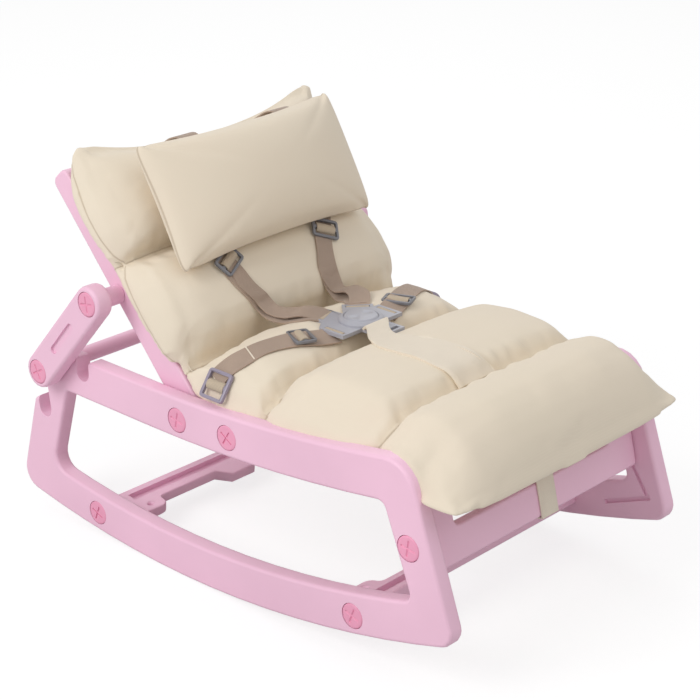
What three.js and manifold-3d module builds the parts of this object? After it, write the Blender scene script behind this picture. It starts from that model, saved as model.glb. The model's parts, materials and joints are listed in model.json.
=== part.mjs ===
// Kids rocking chair: two moulded side frames joined by crossbars, a reclining back on a notched prop,
// a five-cushion mattress with a head pillow, and a five-point harness.
// Millimetres, +Z up. X runs across the chair, -Y points to the foot end.
// Lengths along the chair are counted from the point where the rockers touch the floor.

import * as THREE from "three";
import { mergeVertices } from "three/addons/utils/BufferGeometryUtils.js";
import Module from "manifold-3d";

const wasm = await Module();
wasm.setup();

// Clearances shared by all pieces
const GAP = 0.3;
const RUNNING_GAP = 2;
const OVERRUN = 5;
const NOTCH_SLACK = 2.4;
const WELD_STEP = 1e-4;

// Side frames
const WIDTH = 360;
const FRAME = {
  thickness: 19, edge: 4,
  rockerRadius: 1200, rockerDepth: 44, rockerFacet: 40,
  toeY: -384.8, toeCorner: 16, legLean: 19.3, legInnerLean: 21.7, legWidth: 46, legInnerCorner: 9,
  heelY: 244.3, heelCorner: 23, postLean: 16.1, postInnerLean: 16.9, postWidth: 46.5, postInnerCorner: 17,
  railTop: 202, railDepth: 45, railLevelY: 20, railRise: 1865, railSteps: 8, kneeCorner: 35, hipCorner: 5,
  stubTop: 140, stubLip: 133, stubDepth: 12, toothTop: 177, lipCorner: 4.5,
};
const NOTCH = {
  lowY: 194.4, lowZ: 126.5, lowLean: 8,
  midY: 174.8, midZ: 181.7,
  highY: 127, highZ: 187.5,
  flare: 6, steps: 8,
};
const GROOVE = {
  width: 5, depth: 3.5,
  topY: -337.8, topZ: 112.6, cornerY: -358.7, cornerZ: 81.7, endY: -308.3, endZ: 60.7,
};

// Cap screws: a broad cross-headed cap on a slim bolt
const SCREW = {
  headRadius: 13, headDepth: 6, proud: 0.6, ring: 0.5, rim: 1, shankRadius: 3, reach: 20,
  crossLength: 17, crossWidth: 1.9, crossDepth: 1.4, sides: 22,
};
const SEATS = {
  panel: { y: -328.4, z: 146.7, lean: 13.9 },
  front: { y: -259.3, z: 48.9, tilt: -12.5 },
  pivot: { y: -19, z: 178.1 },
  seat: { y: -91.1, z: 181.6, tilt: -4 },
  rear: { y: 114.8, z: 26.9, tilt: 5.5 },
};

// Crossbar moulding, used under the seat and at both ends of the rockers
const BAR = {
  thickness: 12.2, edge: 1.6, lip: 8.6, lugReach: 40.3, webReach: 23.6, lugInner: 112, lugCorner: 10,
  centreTip: 17, centreRoot: 29, cornerSteps: 4,
  grooveHalf: 138, grooveStart: 0.6, grooveEnd: 13, grooveDepth: 5.6,
  holeX: 130, holeReach: 29, holeRadius: 2.6, sinkRadius: 5.2, sinkDepth: 2.8,
};

// Front panel between the front legs
const PANEL = {
  thickness: 15, edge: 3.2, drop: 33.7, beamTop: 1.5,
  uprightTop: 46, uprightInner: 121, innerCorner: 7, outerCorner: 4,
  lugHalf: 49, lugTop: 17, lugThickness: 7, lugSlope: 6, cornerSteps: 4,
};

// Back frame, in its own frame: x across, y up along the posts, z to the front
const BACK = {
  lean: 48.72, halfWidth: 159, postThickness: 19, edge: 3, length: 288,
  rearDepth: 20.2, frontDepth: 17.4, topDepth: 6.8,
  footCorner: 17, footExtra: 1.5, topCorner: 9, cornerSteps: 5,
};
const RAIL = {
  height: 38, thickness: 12, edge: 1.5, tenon: 6, tenonShoulder: 2.5, inset: 1,
  lowY: 62, midY: 150, fromTop: 42,
};

// Prop: two links outside the frames and the bar that drops into the notches
const PROP = {
  anchorY: 86.9, anchorZ: 280.8, thickness: 20, radius: 18.6, edge: 4, steps: 9,
  recessLength: 44, recessRadius: 4.6, recessDepth: 3,
};
const PROP_BAR = {
  radius: 8.8, reach: 26, sides: 24,
  grooveWidth: 2, grooveDepth: 1.8, grooveHalf: 150, grooveAngle: -52,
};
const SPACER = { radius: 10, sides: 20 };

// Mattress
const SEAT_PAD = {
  rearY: -26, overhang: 62, crownLow: 200, crownRise: 62, sag: 17.3, seamLift: 9,
  creaseHalf: 163, swellHalf: 174, rest: 159.4, kneeSpare: 2, footLow: 191, footSag: 6,
};
const BACK_PAD = { low: 52, overhang: 4, crown: 60, creaseHalf: 168, swellHalf: 174, topHalf: 155 };
const BACK_SEAM_SHARE = 0.22;
const PILLOW = { halfWidth: 139, low: 128, high: 262, rear: 59.9, front: 103, seam: 80 };
const PILLOW_DRAW_SHARE = 0.06;
const PILLOW_POWERS = { blunt: 4, full: 0.4 };

// Harness and webbing
const WEB = { width: 25, thickness: 1.6, lift: 0.4 };
const BUCKLE = {
  x: 4, y: -101, lift: 1.2, radius: 23.5, thickness: 9, dome: 1.5, sides: 28,
  armWidth: 33, armReach: 45, armThickness: 4, slotWidth: 26, slotDepth: 5, slotRim: 3.2, strapGap: 2.6,
  wellRadius: 15.6, wellDepth: 5, buttonRadius: 15.2, buttonHeight: 3.9, travel: 2,
};
const BUCKLE_ARM_ANGLES = {
  lap_right: 180, lap_left: 0, shoulder_right: 132, shoulder_left: 48, crotch: -90,
};
const SLIDER = { length: 33, width: 23, thickness: 3.2, rim: 3, bar: 3.6, lapReach: 72, lift: 1.4 };
const CLIP = { length: 32, width: 31, thickness: 4, rim: 3.5, bar: 5, y: -82, clear: 1.2 };
const CLIP_TILT_ANGLE = 54.8;
const LAP = { clear: 1, endY: -84, step: 13 };
const SHOULDER = {
  topX: 80, topY: 131, lowX: 46, lowY: 67, lowFront: 67, step: 11, stub: 17, stubReach: 10,
};
const CROTCH = { endX: -22, endY: -268, narrow: 13, broad: 25, broadFrom: 34, thickness: 4, step: 12 };
const PILLOW_STRAP = { x: 66, clear: 1 };
const FOOT_LOOP = { x: 12, width: 26, thickness: 1.5, top: 42 };

// Colours and finishes
const PINK = 0xeabfd6;
const CAP_PINK = 0xf4a3c7;
const CREAM = 0xe9dfcb;
const TAUPE = 0xa89488;
const GREY = 0xa9abb4;
const ROUGH = { plastic: 0.45, cloth: 0.9, webbing: 0.8, hardware: 0.4 };

const PROP_LENGTH = Math.hypot(NOTCH.midY - PROP.anchorY, NOTCH.midZ - PROP.anchorZ);
const HALF = WIDTH / 2;
const INNER = HALF - FRAME.thickness;
const LINK_INNER = HALF + RUNNING_GAP;
const LINK_OUTER = LINK_INNER + PROP.thickness;
const SIDES = [["right", -1], ["left", 1]];

const rad = THREE.MathUtils.degToRad;
const point = (x, y) => new THREE.Vector2(x, y);
const space = (x, y, z) => new THREE.Vector3(x, y, z);

// Solids and meshes

function solidOf(geometry) {
  const bare = geometry.clone();
  for (const name of ["normal", "uv", "color"]) bare.deleteAttribute(name);
  const merged = mergeVertices(bare, WELD_STEP);
  return new wasm.Manifold(new wasm.Mesh({
    numProp: 3,
    vertProperties: new Float32Array(merged.attributes.position.array),
    triVerts: new Uint32Array(merged.index.array),
  }));
}

function geometryOf(solid) {
  const mesh = solid.getMesh();
  const geometry = new THREE.BufferGeometry();
  geometry.setAttribute("position", new THREE.BufferAttribute(new Float32Array(mesh.vertProperties), 3));
  geometry.setIndex(new THREE.BufferAttribute(new Uint32Array(mesh.triVerts), 1));
  return geometry;
}

function cut(base, cutters) {
  return cutters.reduce((solid, cutter) => solid.subtract(solidOf(cutter)), solidOf(base));
}

function join(pieces) {
  return pieces.map(solidOf).reduce((solid, piece) => solid.add(piece));
}

function piece(name, geometry, colour, roughness, metalness = 0) {
  const material = new THREE.MeshStandardMaterial({ color: colour, roughness, metalness });
  const mesh = new THREE.Mesh(geometry, material);
  mesh.name = name;
  return mesh;
}

// Outlines

function roundCorner(before, corner, after, radius, steps) {
  const back = before.clone().sub(corner);
  const on = after.clone().sub(corner);
  const room = Math.min(back.length(), on.length()) * ROOM_SHARE;
  back.normalize();
  on.normalize();
  const half = Math.acos(back.dot(on)) / 2;
  const reach = Math.min(radius / Math.tan(half), room);
  const bend = reach * Math.tan(half);
  const start = back.clone().multiplyScalar(reach).add(corner);
  const end = on.clone().multiplyScalar(reach).add(corner);
  const middle = back.clone().add(on).normalize().multiplyScalar(bend / Math.sin(half)).add(corner);
  const from = start.sub(middle).angle();
  const to = end.sub(middle).angle();
  const sweep = Math.atan2(Math.sin(to - from), Math.cos(to - from));
  return Array.from({ length: steps + 1 }, (_, i) => {
    const turn = from + (sweep * i) / steps;
    return point(middle.x + bend * Math.cos(turn), middle.y + bend * Math.sin(turn));
  });
}
const ROOM_SHARE = 0.96;

// Corners are [x, y] or [x, y, radius]; the result is a closed list of points
function outline(corners, steps) {
  return corners.flatMap(([x, y, radius], i) => {
    const corner = point(x, y);
    if (!radius) return [corner];
    const before = point(...corners.at(i - 1).slice(0, 2));
    const after = point(...corners[(i + 1) % corners.length].slice(0, 2));
    return roundCorner(before, corner, after, radius, steps);
  });
}

function mirrored(corners) {
  return [...corners, ...corners.map(([x, y, radius]) => [-x, y, radius]).reverse()];
}

function extruded(points, holes, thickness, edge, edgeSteps = 2) {
  const shape = new THREE.Shape(points);
  shape.holes = holes.map((hole) => new THREE.Path(hole));
  const geometry = new THREE.ExtrudeGeometry(shape, {
    depth: thickness - 2 * edge, steps: 1, bevelEnabled: edge > 0, bevelThickness: edge, bevelSize: edge,
    bevelOffset: -edge, bevelSegments: edgeSteps,
  });
  return geometry.translate(0, 0, edge);
}

// A plate whose outline is drawn as (y, z) and whose thickness runs along +X from x
function sidePlate(points, holes, x, thickness, edge, edgeSteps) {
  const upright = new THREE.Matrix4().makeBasis(space(0, 1, 0), space(0, 0, 1), space(1, 0, 0));
  return extruded(points, holes, thickness, edge, edgeSteps).applyMatrix4(upright).translate(x, 0, 0);
}

// A board whose outline is drawn as (x, y) and whose thickness is centred on z
function board(points, thickness, edge, edgeSteps) {
  return extruded(points, [], thickness, edge, edgeSteps).translate(0, 0, -thickness / 2);
}

function rodX(radius, x0, x1, y, z, sides) {
  const rod = new THREE.CylinderGeometry(radius, radius, x1 - x0, sides);
  return rod.rotateZ(Math.PI / 2).translate((x0 + x1) / 2, y, z);
}

// A bore or counterbore on one side of the chair, from |x| = near to |x| = far
function sideRod(side, radius, near, far, y, z, sides) {
  return side > 0 ? rodX(radius, near, far, y, z, sides) : rodX(radius, -far, -near, y, z, sides);
}

function block(x0, x1, y0, y1, z0, z1) {
  const box = new THREE.BoxGeometry(x1 - x0, y1 - y0, z1 - z0);
  return box.translate((x0 + x1) / 2, (y0 + y1) / 2, (z0 + z1) / 2);
}

// Side frame: its outline follows the rocker circle, the leaning legs and the rising rail

function rockerZ(y, radius) {
  return FRAME.rockerRadius - Math.sqrt(radius * radius - y * y);
}

function railZ(y, drop = 0) {
  const past = Math.min(y - FRAME.railLevelY, 0);
  const radius = FRAME.railRise + drop;
  return FRAME.railTop + FRAME.railRise - Math.sqrt(radius * radius - past * past);
}

// Where the straight line through (y, z) that leans back by an angle meets the height given by a curve
function meet(y, z, lean, height) {
  let level = z;
  for (let turn = 0; turn < MEET_TURNS; turn += 1) level = height(y + Math.tan(lean) * (level - z));
  return [y + Math.tan(lean) * (level - z), level];
}
const MEET_TURNS = 12;

// Points on an arc between two ends, spaced so that one facet lies level where it touches the floor
function facets(from, to, height) {
  const facet = FRAME.rockerFacet;
  const first = Math.ceil(Math.min(from, to) / facet);
  const last = Math.floor(Math.max(from, to) / facet);
  const ys = Array.from({ length: last - first }, (_, i) => (first + i + 1 / 2) * facet);
  return ys.map((y) => [y, height(y)]);
}

function along(from, to, steps, height) {
  return Array.from({ length: steps - 1 }, (_, i) => {
    const y = from + ((to - from) * (i + 1)) / steps;
    return [y, height(y)];
  });
}

const OUTER_ARC = FRAME.rockerRadius;
const INNER_ARC = FRAME.rockerRadius - FRAME.rockerDepth;
const toe = [FRAME.toeY, rockerZ(FRAME.toeY, OUTER_ARC)];
const heel = [FRAME.heelY, rockerZ(FRAME.heelY, OUTER_ARC)];
const legLean = rad(FRAME.legLean);
const postLean = -rad(FRAME.postLean);
const knee = meet(toe[0], toe[1], legLean, (y) => railZ(y));
const lip = [heel[0] + Math.tan(postLean) * (FRAME.stubLip - heel[1]), FRAME.stubLip];
const lowSlotY = (z) => NOTCH.lowY + Math.tan(rad(NOTCH.lowLean)) * (z - NOTCH.lowZ);
const NOTCH_HALF = PROP_BAR.radius + NOTCH_SLACK / 2;

function frameOutline() {
  const corners = [
    [...toe, FRAME.toeCorner],
    ...facets(toe[0], heel[0], (y) => rockerZ(y, OUTER_ARC)),
    [...heel, FRAME.heelCorner],
    [...lip, FRAME.lipCorner],
    [lip[0] - FRAME.stubDepth, FRAME.stubTop, FRAME.lipCorner],
    [lowSlotY(FRAME.stubTop), FRAME.stubTop],
    [lowSlotY(FRAME.toothTop), FRAME.toothTop],
    [NOTCH.midY, FRAME.toothTop],
    [NOTCH.midY, FRAME.railTop],
    [FRAME.railLevelY, FRAME.railTop],
    ...along(FRAME.railLevelY, knee[0], FRAME.railSteps, (y) => railZ(y)),
    [...knee, FRAME.kneeCorner],
  ];
  return outline(corners, CORNER_STEPS);
}
const CORNER_STEPS = 5;

function windowOutline() {
  const drop = FRAME.railDepth;
  const legAcross = FRAME.legWidth / Math.cos(legLean);
  const postAcross = FRAME.postWidth / Math.cos(postLean);
  const innerLeg = knee[0] + legAcross;
  const innerPost = lip[0] - postAcross;
  const top = meet(innerLeg, knee[1], rad(FRAME.legInnerLean), (y) => railZ(y, drop));
  const low = meet(innerLeg, knee[1], rad(FRAME.legInnerLean), (y) => rockerZ(y, INNER_ARC));
  const hip = meet(innerPost, FRAME.stubLip, -rad(FRAME.postInnerLean), (y) => railZ(y, drop));
  const base = meet(innerPost, FRAME.stubLip, -rad(FRAME.postInnerLean), (y) => rockerZ(y, INNER_ARC));
  const corners = [
    [...low, FRAME.legInnerCorner],
    ...facets(low[0], base[0], (y) => rockerZ(y, INNER_ARC)),
    [...base, FRAME.postInnerCorner],
    [...hip, FRAME.hipCorner],
    [FRAME.railLevelY, railZ(FRAME.railLevelY, drop)],
    ...along(FRAME.railLevelY, top[0], FRAME.railSteps - 1, (y) => railZ(y, drop)),
    [...top, FRAME.legInnerCorner],
  ];
  return outline(corners, CORNER_STEPS);
}

// A notch for the prop bar: a round floor and upright walls, with the mouth flared where it meets the rail
function notchCutter(y, z, lean, top, flareFront, flareRear) {
  const half = NOTCH_HALF;
  const rise = top - z;
  const floor = Array.from({ length: NOTCH.steps + 1 }, (_, i) => {
    const turn = Math.PI + (Math.PI * i) / NOTCH.steps;
    return [half * Math.cos(turn), half * Math.sin(turn)];
  });
  const quarter = (flare, sign) => Array.from({ length: MOUTH_STEPS + 1 }, (_, i) => {
    const turn = (Math.PI / 2) * (i / MOUTH_STEPS);
    return [sign * (half + flare * (1 - Math.cos(turn))), rise - flare * (1 - Math.sin(turn))];
  });
  const points = [
    ...floor,
    ...(flareRear ? quarter(flareRear, 1) : []),
    [half + flareRear, rise + OVERRUN],
    [-half - flareFront, rise + OVERRUN],
    ...(flareFront ? quarter(flareFront, -1).reverse() : []),
  ].map(([a, b]) => point(a, b).rotateAround(point(0, 0), -rad(lean)).add(point(y, z)));
  return sidePlate(points, [], -OVERRUN, FRAME.thickness + 2 * OVERRUN, 0);
}
const MOUTH_STEPS = 3;

function grooveCutter(y0, z0, y1, z1) {
  const run = Math.hypot(y1 - y0, z1 - z0);
  const strip = new THREE.BoxGeometry(2 * GROOVE.depth, run + GROOVE.width, GROOVE.width);
  return strip.rotateX(Math.atan2(z1 - z0, y1 - y0)).translate(0, (y0 + y1) / 2, (z0 + z1) / 2);
}

function sideFrame(side) {
  const near = side > 0 ? INNER : -HALF;
  const plate = sidePlate(frameOutline(), [windowOutline()], near, FRAME.thickness, FRAME.edge, EDGE_STEPS);
  const top = FRAME.railTop;
  const notches = [
    notchCutter(NOTCH.lowY, NOTCH.lowZ, NOTCH.lowLean, FRAME.toothTop, 0, 0),
    notchCutter(NOTCH.midY, NOTCH.midZ, 0, top, NOTCH.flare, 0),
    notchCutter(NOTCH.highY, NOTCH.highZ, 0, top, NOTCH.flare / 2, NOTCH.flare / 2),
  ].map((cutter) => cutter.translate(near, 0, 0));
  const holes = Object.values(SEATS).flatMap(({ y, z }) => [
    sideRod(side, SEAT_RADIUS, HALF - SCREW.headDepth - GAP, HALF + OVERRUN, y, z, SCREW.sides),
    sideRod(side, SCREW.shankRadius + GAP, INNER - OVERRUN, HALF, y, z, SCREW.sides),
  ]);
  const grooves = [
    grooveCutter(GROOVE.topY, GROOVE.topZ, GROOVE.cornerY, GROOVE.cornerZ),
    grooveCutter(GROOVE.cornerY, GROOVE.cornerZ, GROOVE.endY, GROOVE.endZ),
  ].map((cutter) => cutter.translate(side * INNER, 0, 0));
  return geometryOf(cut(plate, [...notches, ...holes, ...grooves]));
}
const EDGE_STEPS = 2;
const SEAT_RADIUS = SCREW.headRadius + SCREW.ring;

// Cap screw: a turned cap with a cross recess and a plain shank, pointing along -X from its cap

function screwGeometry(shankLength) {
  const { headRadius, headDepth, proud, rim, shankRadius, sides } = SCREW;
  const profile = [
    [0, proud], [headRadius - 2 * rim, proud], [headRadius, proud - rim], [headRadius, -headDepth],
    [shankRadius, -headDepth], [shankRadius, -headDepth - shankLength], [0, -headDepth - shankLength],
  ].map(([r, h]) => point(r, h)).reverse();
  const turned = new THREE.LatheGeometry(profile, sides).rotateZ(-Math.PI / 2);
  const deep = proud - SCREW.crossDepth;
  const half = SCREW.crossLength / 2;
  const wide = SCREW.crossWidth / 2;
  const upright = block(deep, OVERRUN, -half, half, -wide, wide);
  const level = block(deep, OVERRUN, -wide, wide, -half, half);
  return geometryOf(cut(turned, [upright, level]));
}

function screw(name, side, faceX, y, z, shankLength, turn) {
  const mesh = piece(name, screwGeometry(shankLength), CAP_PINK, ROUGH.plastic);
  mesh.position.set(side * faceX, y, z);
  mesh.rotation.set(rad(turn), side > 0 ? 0 : Math.PI, 0);
  return mesh;
}

// Crossbar moulding: x across, +y towards the middle of the chair, z through the board

function crossbarGeometry() {
  const end = INNER - GAP;
  const half = [
    [end, -BAR.lip, 0],
    [end, BAR.lugReach, 0],
    [BAR.lugInner, BAR.lugReach, BAR.lugCorner],
    [BAR.lugInner, BAR.webReach, BAR.lugCorner / 2],
    [BAR.centreRoot, BAR.webReach, 0],
    [BAR.centreTip, BAR.lugReach, 0],
  ];
  const body = board(outline(mirrored(half), BAR.cornerSteps), BAR.thickness, BAR.edge, 1);
  const top = BAR.thickness / 2;
  const groove = block(
    -BAR.grooveHalf, BAR.grooveHalf, BAR.grooveStart, BAR.grooveEnd, top - BAR.grooveDepth, top + OVERRUN,
  );
  const sunk = [
    [0, -top - OVERRUN], [BAR.holeRadius, -top - OVERRUN], [BAR.holeRadius, top - BAR.sinkDepth],
    [BAR.sinkRadius, top], [BAR.sinkRadius, top + OVERRUN], [0, top + OVERRUN],
  ].map(([r, h]) => point(r, h));
  const bore = SCREW.shankRadius + GAP;
  const cutters = SIDES.flatMap(([, side]) => [
    new THREE.LatheGeometry(sunk, SINK_SIDES)
      .rotateX(Math.PI / 2)
      .translate(side * BAR.holeX, BAR.holeReach, 0),
    sideRod(side, bore, INNER - SCREW.reach - GAP, INNER + OVERRUN, 0, 0, SCREW.sides / 2),
  ]);
  return geometryOf(cut(body, [groove, ...cutters]));
}
const SINK_SIDES = 16;

function crossbar(name, { y, z, tilt }, facing) {
  const mesh = piece(name, crossbarGeometry(), PINK, ROUGH.plastic);
  mesh.position.set(0, y, z);
  mesh.rotation.set(rad(tilt), 0, facing > 0 ? 0 : Math.PI, "XYZ");
  return mesh;
}

// Front panel: x across, y up along the panel, +z to the front

function panelGeometry() {
  const end = INNER - GAP;
  const half = [
    [end, -PANEL.drop, PANEL.outerCorner],
    [end, PANEL.uprightTop, PANEL.outerCorner],
    [PANEL.uprightInner, PANEL.uprightTop, PANEL.outerCorner],
    [PANEL.uprightInner, PANEL.beamTop, PANEL.innerCorner],
  ];
  const body = board(outline(mirrored(half), PANEL.cornerSteps), PANEL.thickness, PANEL.edge, 2);
  const back = -PANEL.thickness / 2 + PANEL.edge / 2;
  const lugHalf = PANEL.lugHalf;
  const tip = lugHalf - PANEL.lugSlope;
  const lug = [[lugHalf, -PANEL.drop / 2, 0], [lugHalf, PANEL.beamTop, 0], [tip, PANEL.lugTop, 0]];
  const centre = extruded(outline(mirrored(lug), 1), [], PANEL.lugThickness, 0).translate(0, 0, back);
  const deep = INNER - SCREW.reach - GAP;
  const bores = SIDES.map(([, side]) =>
    sideRod(side, SCREW.shankRadius + GAP, deep, INNER + OVERRUN, 0, 0, SCREW.sides / 2));
  return geometryOf(bores.reduce((rest, bore) => rest.subtract(solidOf(bore)), join([body, centre])));
}

// Back frame pieces, in the back's own frame

const anchor = new THREE.Vector2(PROP.anchorY - SEATS.pivot.y, PROP.anchorZ - SEATS.pivot.z)
  .rotateAround(point(0, 0), -rad(BACK.lean));
const BACK_PAD_LENGTH = BACK.length + BACK_PAD.overhang - BACK_PAD.low;
const POST_INNER = BACK.halfWidth - BACK.postThickness;
const postFront = (y) => BACK.frontDepth + ((BACK.topDepth - BACK.frontDepth) * y) / BACK.length;
const railFace = (y) => postFront(y) - RAIL.inset;
const railYs = { lower: RAIL.lowY, middle: RAIL.midY, upper: BACK.length - RAIL.fromTop };

function railBlock(y, grow) {
  const tenon = POST_INNER + RAIL.tenon;
  const shoulder = RAIL.tenonShoulder;
  const face = railFace(y);
  return block(
    -tenon - grow, tenon + grow,
    y - RAIL.height / 2 + shoulder - grow, y + RAIL.height / 2 - shoulder + grow,
    face - RAIL.thickness + shoulder - grow, face - shoulder + grow,
  );
}

function backPost(side) {
  const corners = [
    [-BACK.footCorner - BACK.footExtra, -BACK.rearDepth, BACK.footCorner],
    [BACK.length, -BACK.rearDepth, BACK.topCorner],
    [BACK.length, BACK.topDepth, BACK.topCorner],
    [-BACK.footCorner - BACK.footExtra, postFront(-BACK.footCorner), BACK.footCorner],
  ];
  const near = side > 0 ? POST_INNER : -BACK.halfWidth;
  const plate = sidePlate(outline(corners, BACK.cornerSteps), [], near, BACK.postThickness, BACK.edge, 2);
  const bore = SCREW.shankRadius + GAP;
  const through = [POST_INNER - OVERRUN, BACK.halfWidth + OVERRUN];
  const cutters = [
    sideRod(side, bore, ...through, 0, 0, SCREW.sides / 2),
    sideRod(side, bore, ...through, anchor.x, anchor.y, SCREW.sides / 2),
    ...Object.values(railYs).map((y) => railBlock(y, GAP)),
  ];
  return geometryOf(cut(plate, cutters));
}

function backRail(y) {
  const half = POST_INNER - GAP;
  const shape = outline(mirrored([[half, -RAIL.height / 2, 0], [half, RAIL.height / 2, 0]]), 1);
  const body = board(shape, RAIL.thickness, RAIL.edge, 1).translate(0, y, railFace(y) - RAIL.thickness / 2);
  return geometryOf(join([body, railBlock(y, 0)]));
}

// Prop pieces, in the prop's own frame: +y from the upper pivot to the bar

function pill(length, radius, steps) {
  const end = (centre, from) => Array.from({ length: steps + 1 }, (_, i) => {
    const turn = from + (Math.PI * i) / steps;
    return point(centre + radius * Math.cos(turn), radius * Math.sin(turn));
  });
  return [...end(length, -Math.PI / 2), ...end(0, Math.PI / 2)];
}

function linkGeometry(side) {
  const near = side > 0 ? LINK_INNER : -LINK_OUTER;
  const shape = pill(PROP_LENGTH, PROP.radius, PROP.steps);
  const plate = sidePlate(shape, [], near, PROP.thickness, PROP.edge, EDGE_STEPS);
  const recess = pill(PROP.recessLength, PROP.recessRadius, PROP.steps / 2)
    .map((p) => p.add(point((PROP_LENGTH - PROP.recessLength) / 2, 0)));
  const face = side > 0 ? LINK_OUTER - PROP.recessDepth : -LINK_OUTER - OVERRUN;
  const cutters = [0, PROP_LENGTH].flatMap((y) => [
    sideRod(side, SEAT_RADIUS, LINK_OUTER - SCREW.headDepth - GAP, LINK_OUTER + OVERRUN, y, 0, SCREW.sides),
    sideRod(side, SCREW.shankRadius + GAP, LINK_INNER - OVERRUN, LINK_OUTER, y, 0, SCREW.sides / 2),
  ]);
  const pocket = sidePlate(recess, [], face, PROP.recessDepth + OVERRUN, 0);
  return geometryOf(cut(plate, [...cutters, pocket]));
}

function propBarGeometry() {
  const reach = LINK_INNER - GAP;
  const bar = rodX(PROP_BAR.radius, -reach, reach, 0, 0, PROP_BAR.sides);
  const depth = PROP_BAR.radius - PROP_BAR.grooveDepth;
  const groove = block(
    -PROP_BAR.grooveHalf, PROP_BAR.grooveHalf,
    -PROP_BAR.grooveWidth / 2, PROP_BAR.grooveWidth / 2, depth, PROP_BAR.radius + OVERRUN,
  ).rotateX(rad(PROP_BAR.grooveAngle));
  const deep = reach - PROP_BAR.reach - GAP;
  const bores = SIDES.map(([, side]) =>
    sideRod(side, SCREW.shankRadius + GAP, deep, reach + OVERRUN, 0, 0, SCREW.sides / 2));
  return geometryOf(cut(bar, [groove, ...bores]));
}

// Cushions: rings of points from one end to the other, closed by a fan at each end

function ringLoft(rings) {
  const count = rings[0].length;
  const points = rings.flat();
  const faces = [];
  for (let i = 0; i + 1 < rings.length; i += 1) {
    for (let j = 0; j < count; j += 1) {
      const next = (j + 1) % count;
      const [a, b] = [i * count + j, i * count + next];
      faces.push(a, b + count, b, a, a + count, b + count);
    }
  }
  const last = (rings.length - 1) * count;
  for (let j = 1; j + 1 < count; j += 1) {
    faces.push(0, j, j + 1);
    faces.push(last, last + j + 1, last + j);
  }
  const inward = faces.reduce((sum, _, i) => {
    if (i % 3) return sum;
    const [a, b, c] = faces.slice(i, i + 3).map((index) => space(...points[index]));
    return sum + a.dot(b.cross(c));
  }, 0) < 0;
  const geometry = new THREE.BufferGeometry();
  geometry.setAttribute("position", new THREE.BufferAttribute(new Float32Array(points.flat()), 3));
  geometry.setIndex(inward ? faces.reverse() : faces);
  return geometry;
}

// A flat strap along a route of points, its width turned square to the route and to an upward direction
function ribbon(route, up, halfWidths, thickness) {
  const rings = route.map((centre, i) => {
    const before = route[Math.max(i - 1, 0)];
    const after = route[Math.min(i + 1, route.length - 1)];
    const way = after.clone().sub(before).normalize();
    const across = way.clone().cross(up).normalize();
    const out = across.clone().cross(way).normalize().multiplyScalar(thickness / 2);
    const half = typeof halfWidths === "function" ? halfWidths(i) : halfWidths;
    return [[1, 1], [1, -1], [-1, -1], [-1, 1]].map(([a, b]) =>
      centre.clone().addScaledVector(across, a * half).addScaledVector(out, b).toArray());
  });
  return ringLoft(rings);
}

function between(rows, at) {
  const i = Math.max(1, rows.findIndex((row) => row[0] >= at));
  const [before, after] = [rows[i - 1], rows[i]];
  const share = (at - before[0]) / (after[0] - before[0]);
  return before.map((value, k) => value + (after[k] - value) * share);
}

const CROWN_SHARES = [
  [1, 0], [0.975, 0.3], [0.9, 0.58], [0.74, 0.84], [0.45, 0.97], [0, 1],
];

// Seat stations by share of the seat's length from its rear end: crown height, width and underside's sag,
// each by share of its range
const SEAT_STATION_SHARES = [
  [0, 0.53, 0, 0], [0.02, 0.66, 0, 0], [0.055, 0.76, 0.1, 0], [0.1, 0.82, 0.25, 0.6],
  [0.17, 0.78, 0.25, 1], [0.23, 0.64, 0.2, 1], [0.27, 0.44, 0, 1], [0.31, 0.66, 0.6, 1],
  [0.37, 0.88, 0.95, 1], [0.48, 0.97, 1, 1], [0.59, 0.92, 0.9, 1], [0.64, 0.84, 0.5, 1],
  [0.68, 0.76, 0, 1.1], [0.72, 0.87, 0.5, 1.3], [0.765, 0.96, 0.9, 1.6], [0.8, 0.99, 1, 1.7],
  [0.83, 1, 1, 1.7], [0.853, 0.99, 1, 1.7], [0.868, 0.97, 1, 1.7], [0.885, 0.93, 1, 1.7],
  [0.91, 0.85, 1, 1.6], [0.94, 0.67, 1, 1.4], [0.97, 0.4, 0.9, 1], [0.99, 0.14, 0.7, 1],
  [1, 0, 0.5, 1],
];
const SEAT_LENGTH = SEAT_PAD.rearY - knee[0] + SEAT_PAD.overhang;
const seatRows = SEAT_STATION_SHARES.map(([share, crown, swell, sag]) => [
  SEAT_LENGTH * share - SEAT_PAD.rearY,
  SEAT_PAD.crownLow + SEAT_PAD.crownRise * crown,
  SEAT_PAD.creaseHalf + (SEAT_PAD.swellHalf - SEAT_PAD.creaseHalf) * swell,
  SEAT_PAD.sag * sag,
]);

// Height of the frame's top edge, rounded over the knee with a little to spare
function kneeZ(y) {
  const over = FRAME.kneeCorner + SEAT_PAD.kneeSpare;
  const middleY = knee[0] + FRAME.kneeCorner * KNEE_SHARES.back;
  const middleZ = knee[1] - FRAME.kneeCorner * KNEE_SHARES.down;
  if (y > middleY) return railZ(y);
  const past = middleY - y;
  return past < over ? middleZ + Math.sqrt(over * over - past * past) : middleZ;
}
const KNEE_SHARES = { back: 0.66, down: 1.13 };

function seatFloor(y) {
  return Math.max(kneeZ(y) + 2 * GAP, SEAT_PAD.footLow);
}

function seatTop(x, y) {
  const [, crown, half] = between(seatRows, -y);
  const floor = seatFloor(y);
  const seam = Math.min(floor + SEAT_PAD.seamLift, (floor + crown) / 2);
  const across = Math.min(Math.abs(x) / half, 1);
  const [, share] = between([...CROWN_SHARES].reverse(), across);
  return seam + (crown - seam) * share;
}

const UNDER_SHARES = [[1, 0.4], [0.74, 0.9], [0, 1]];

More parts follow.
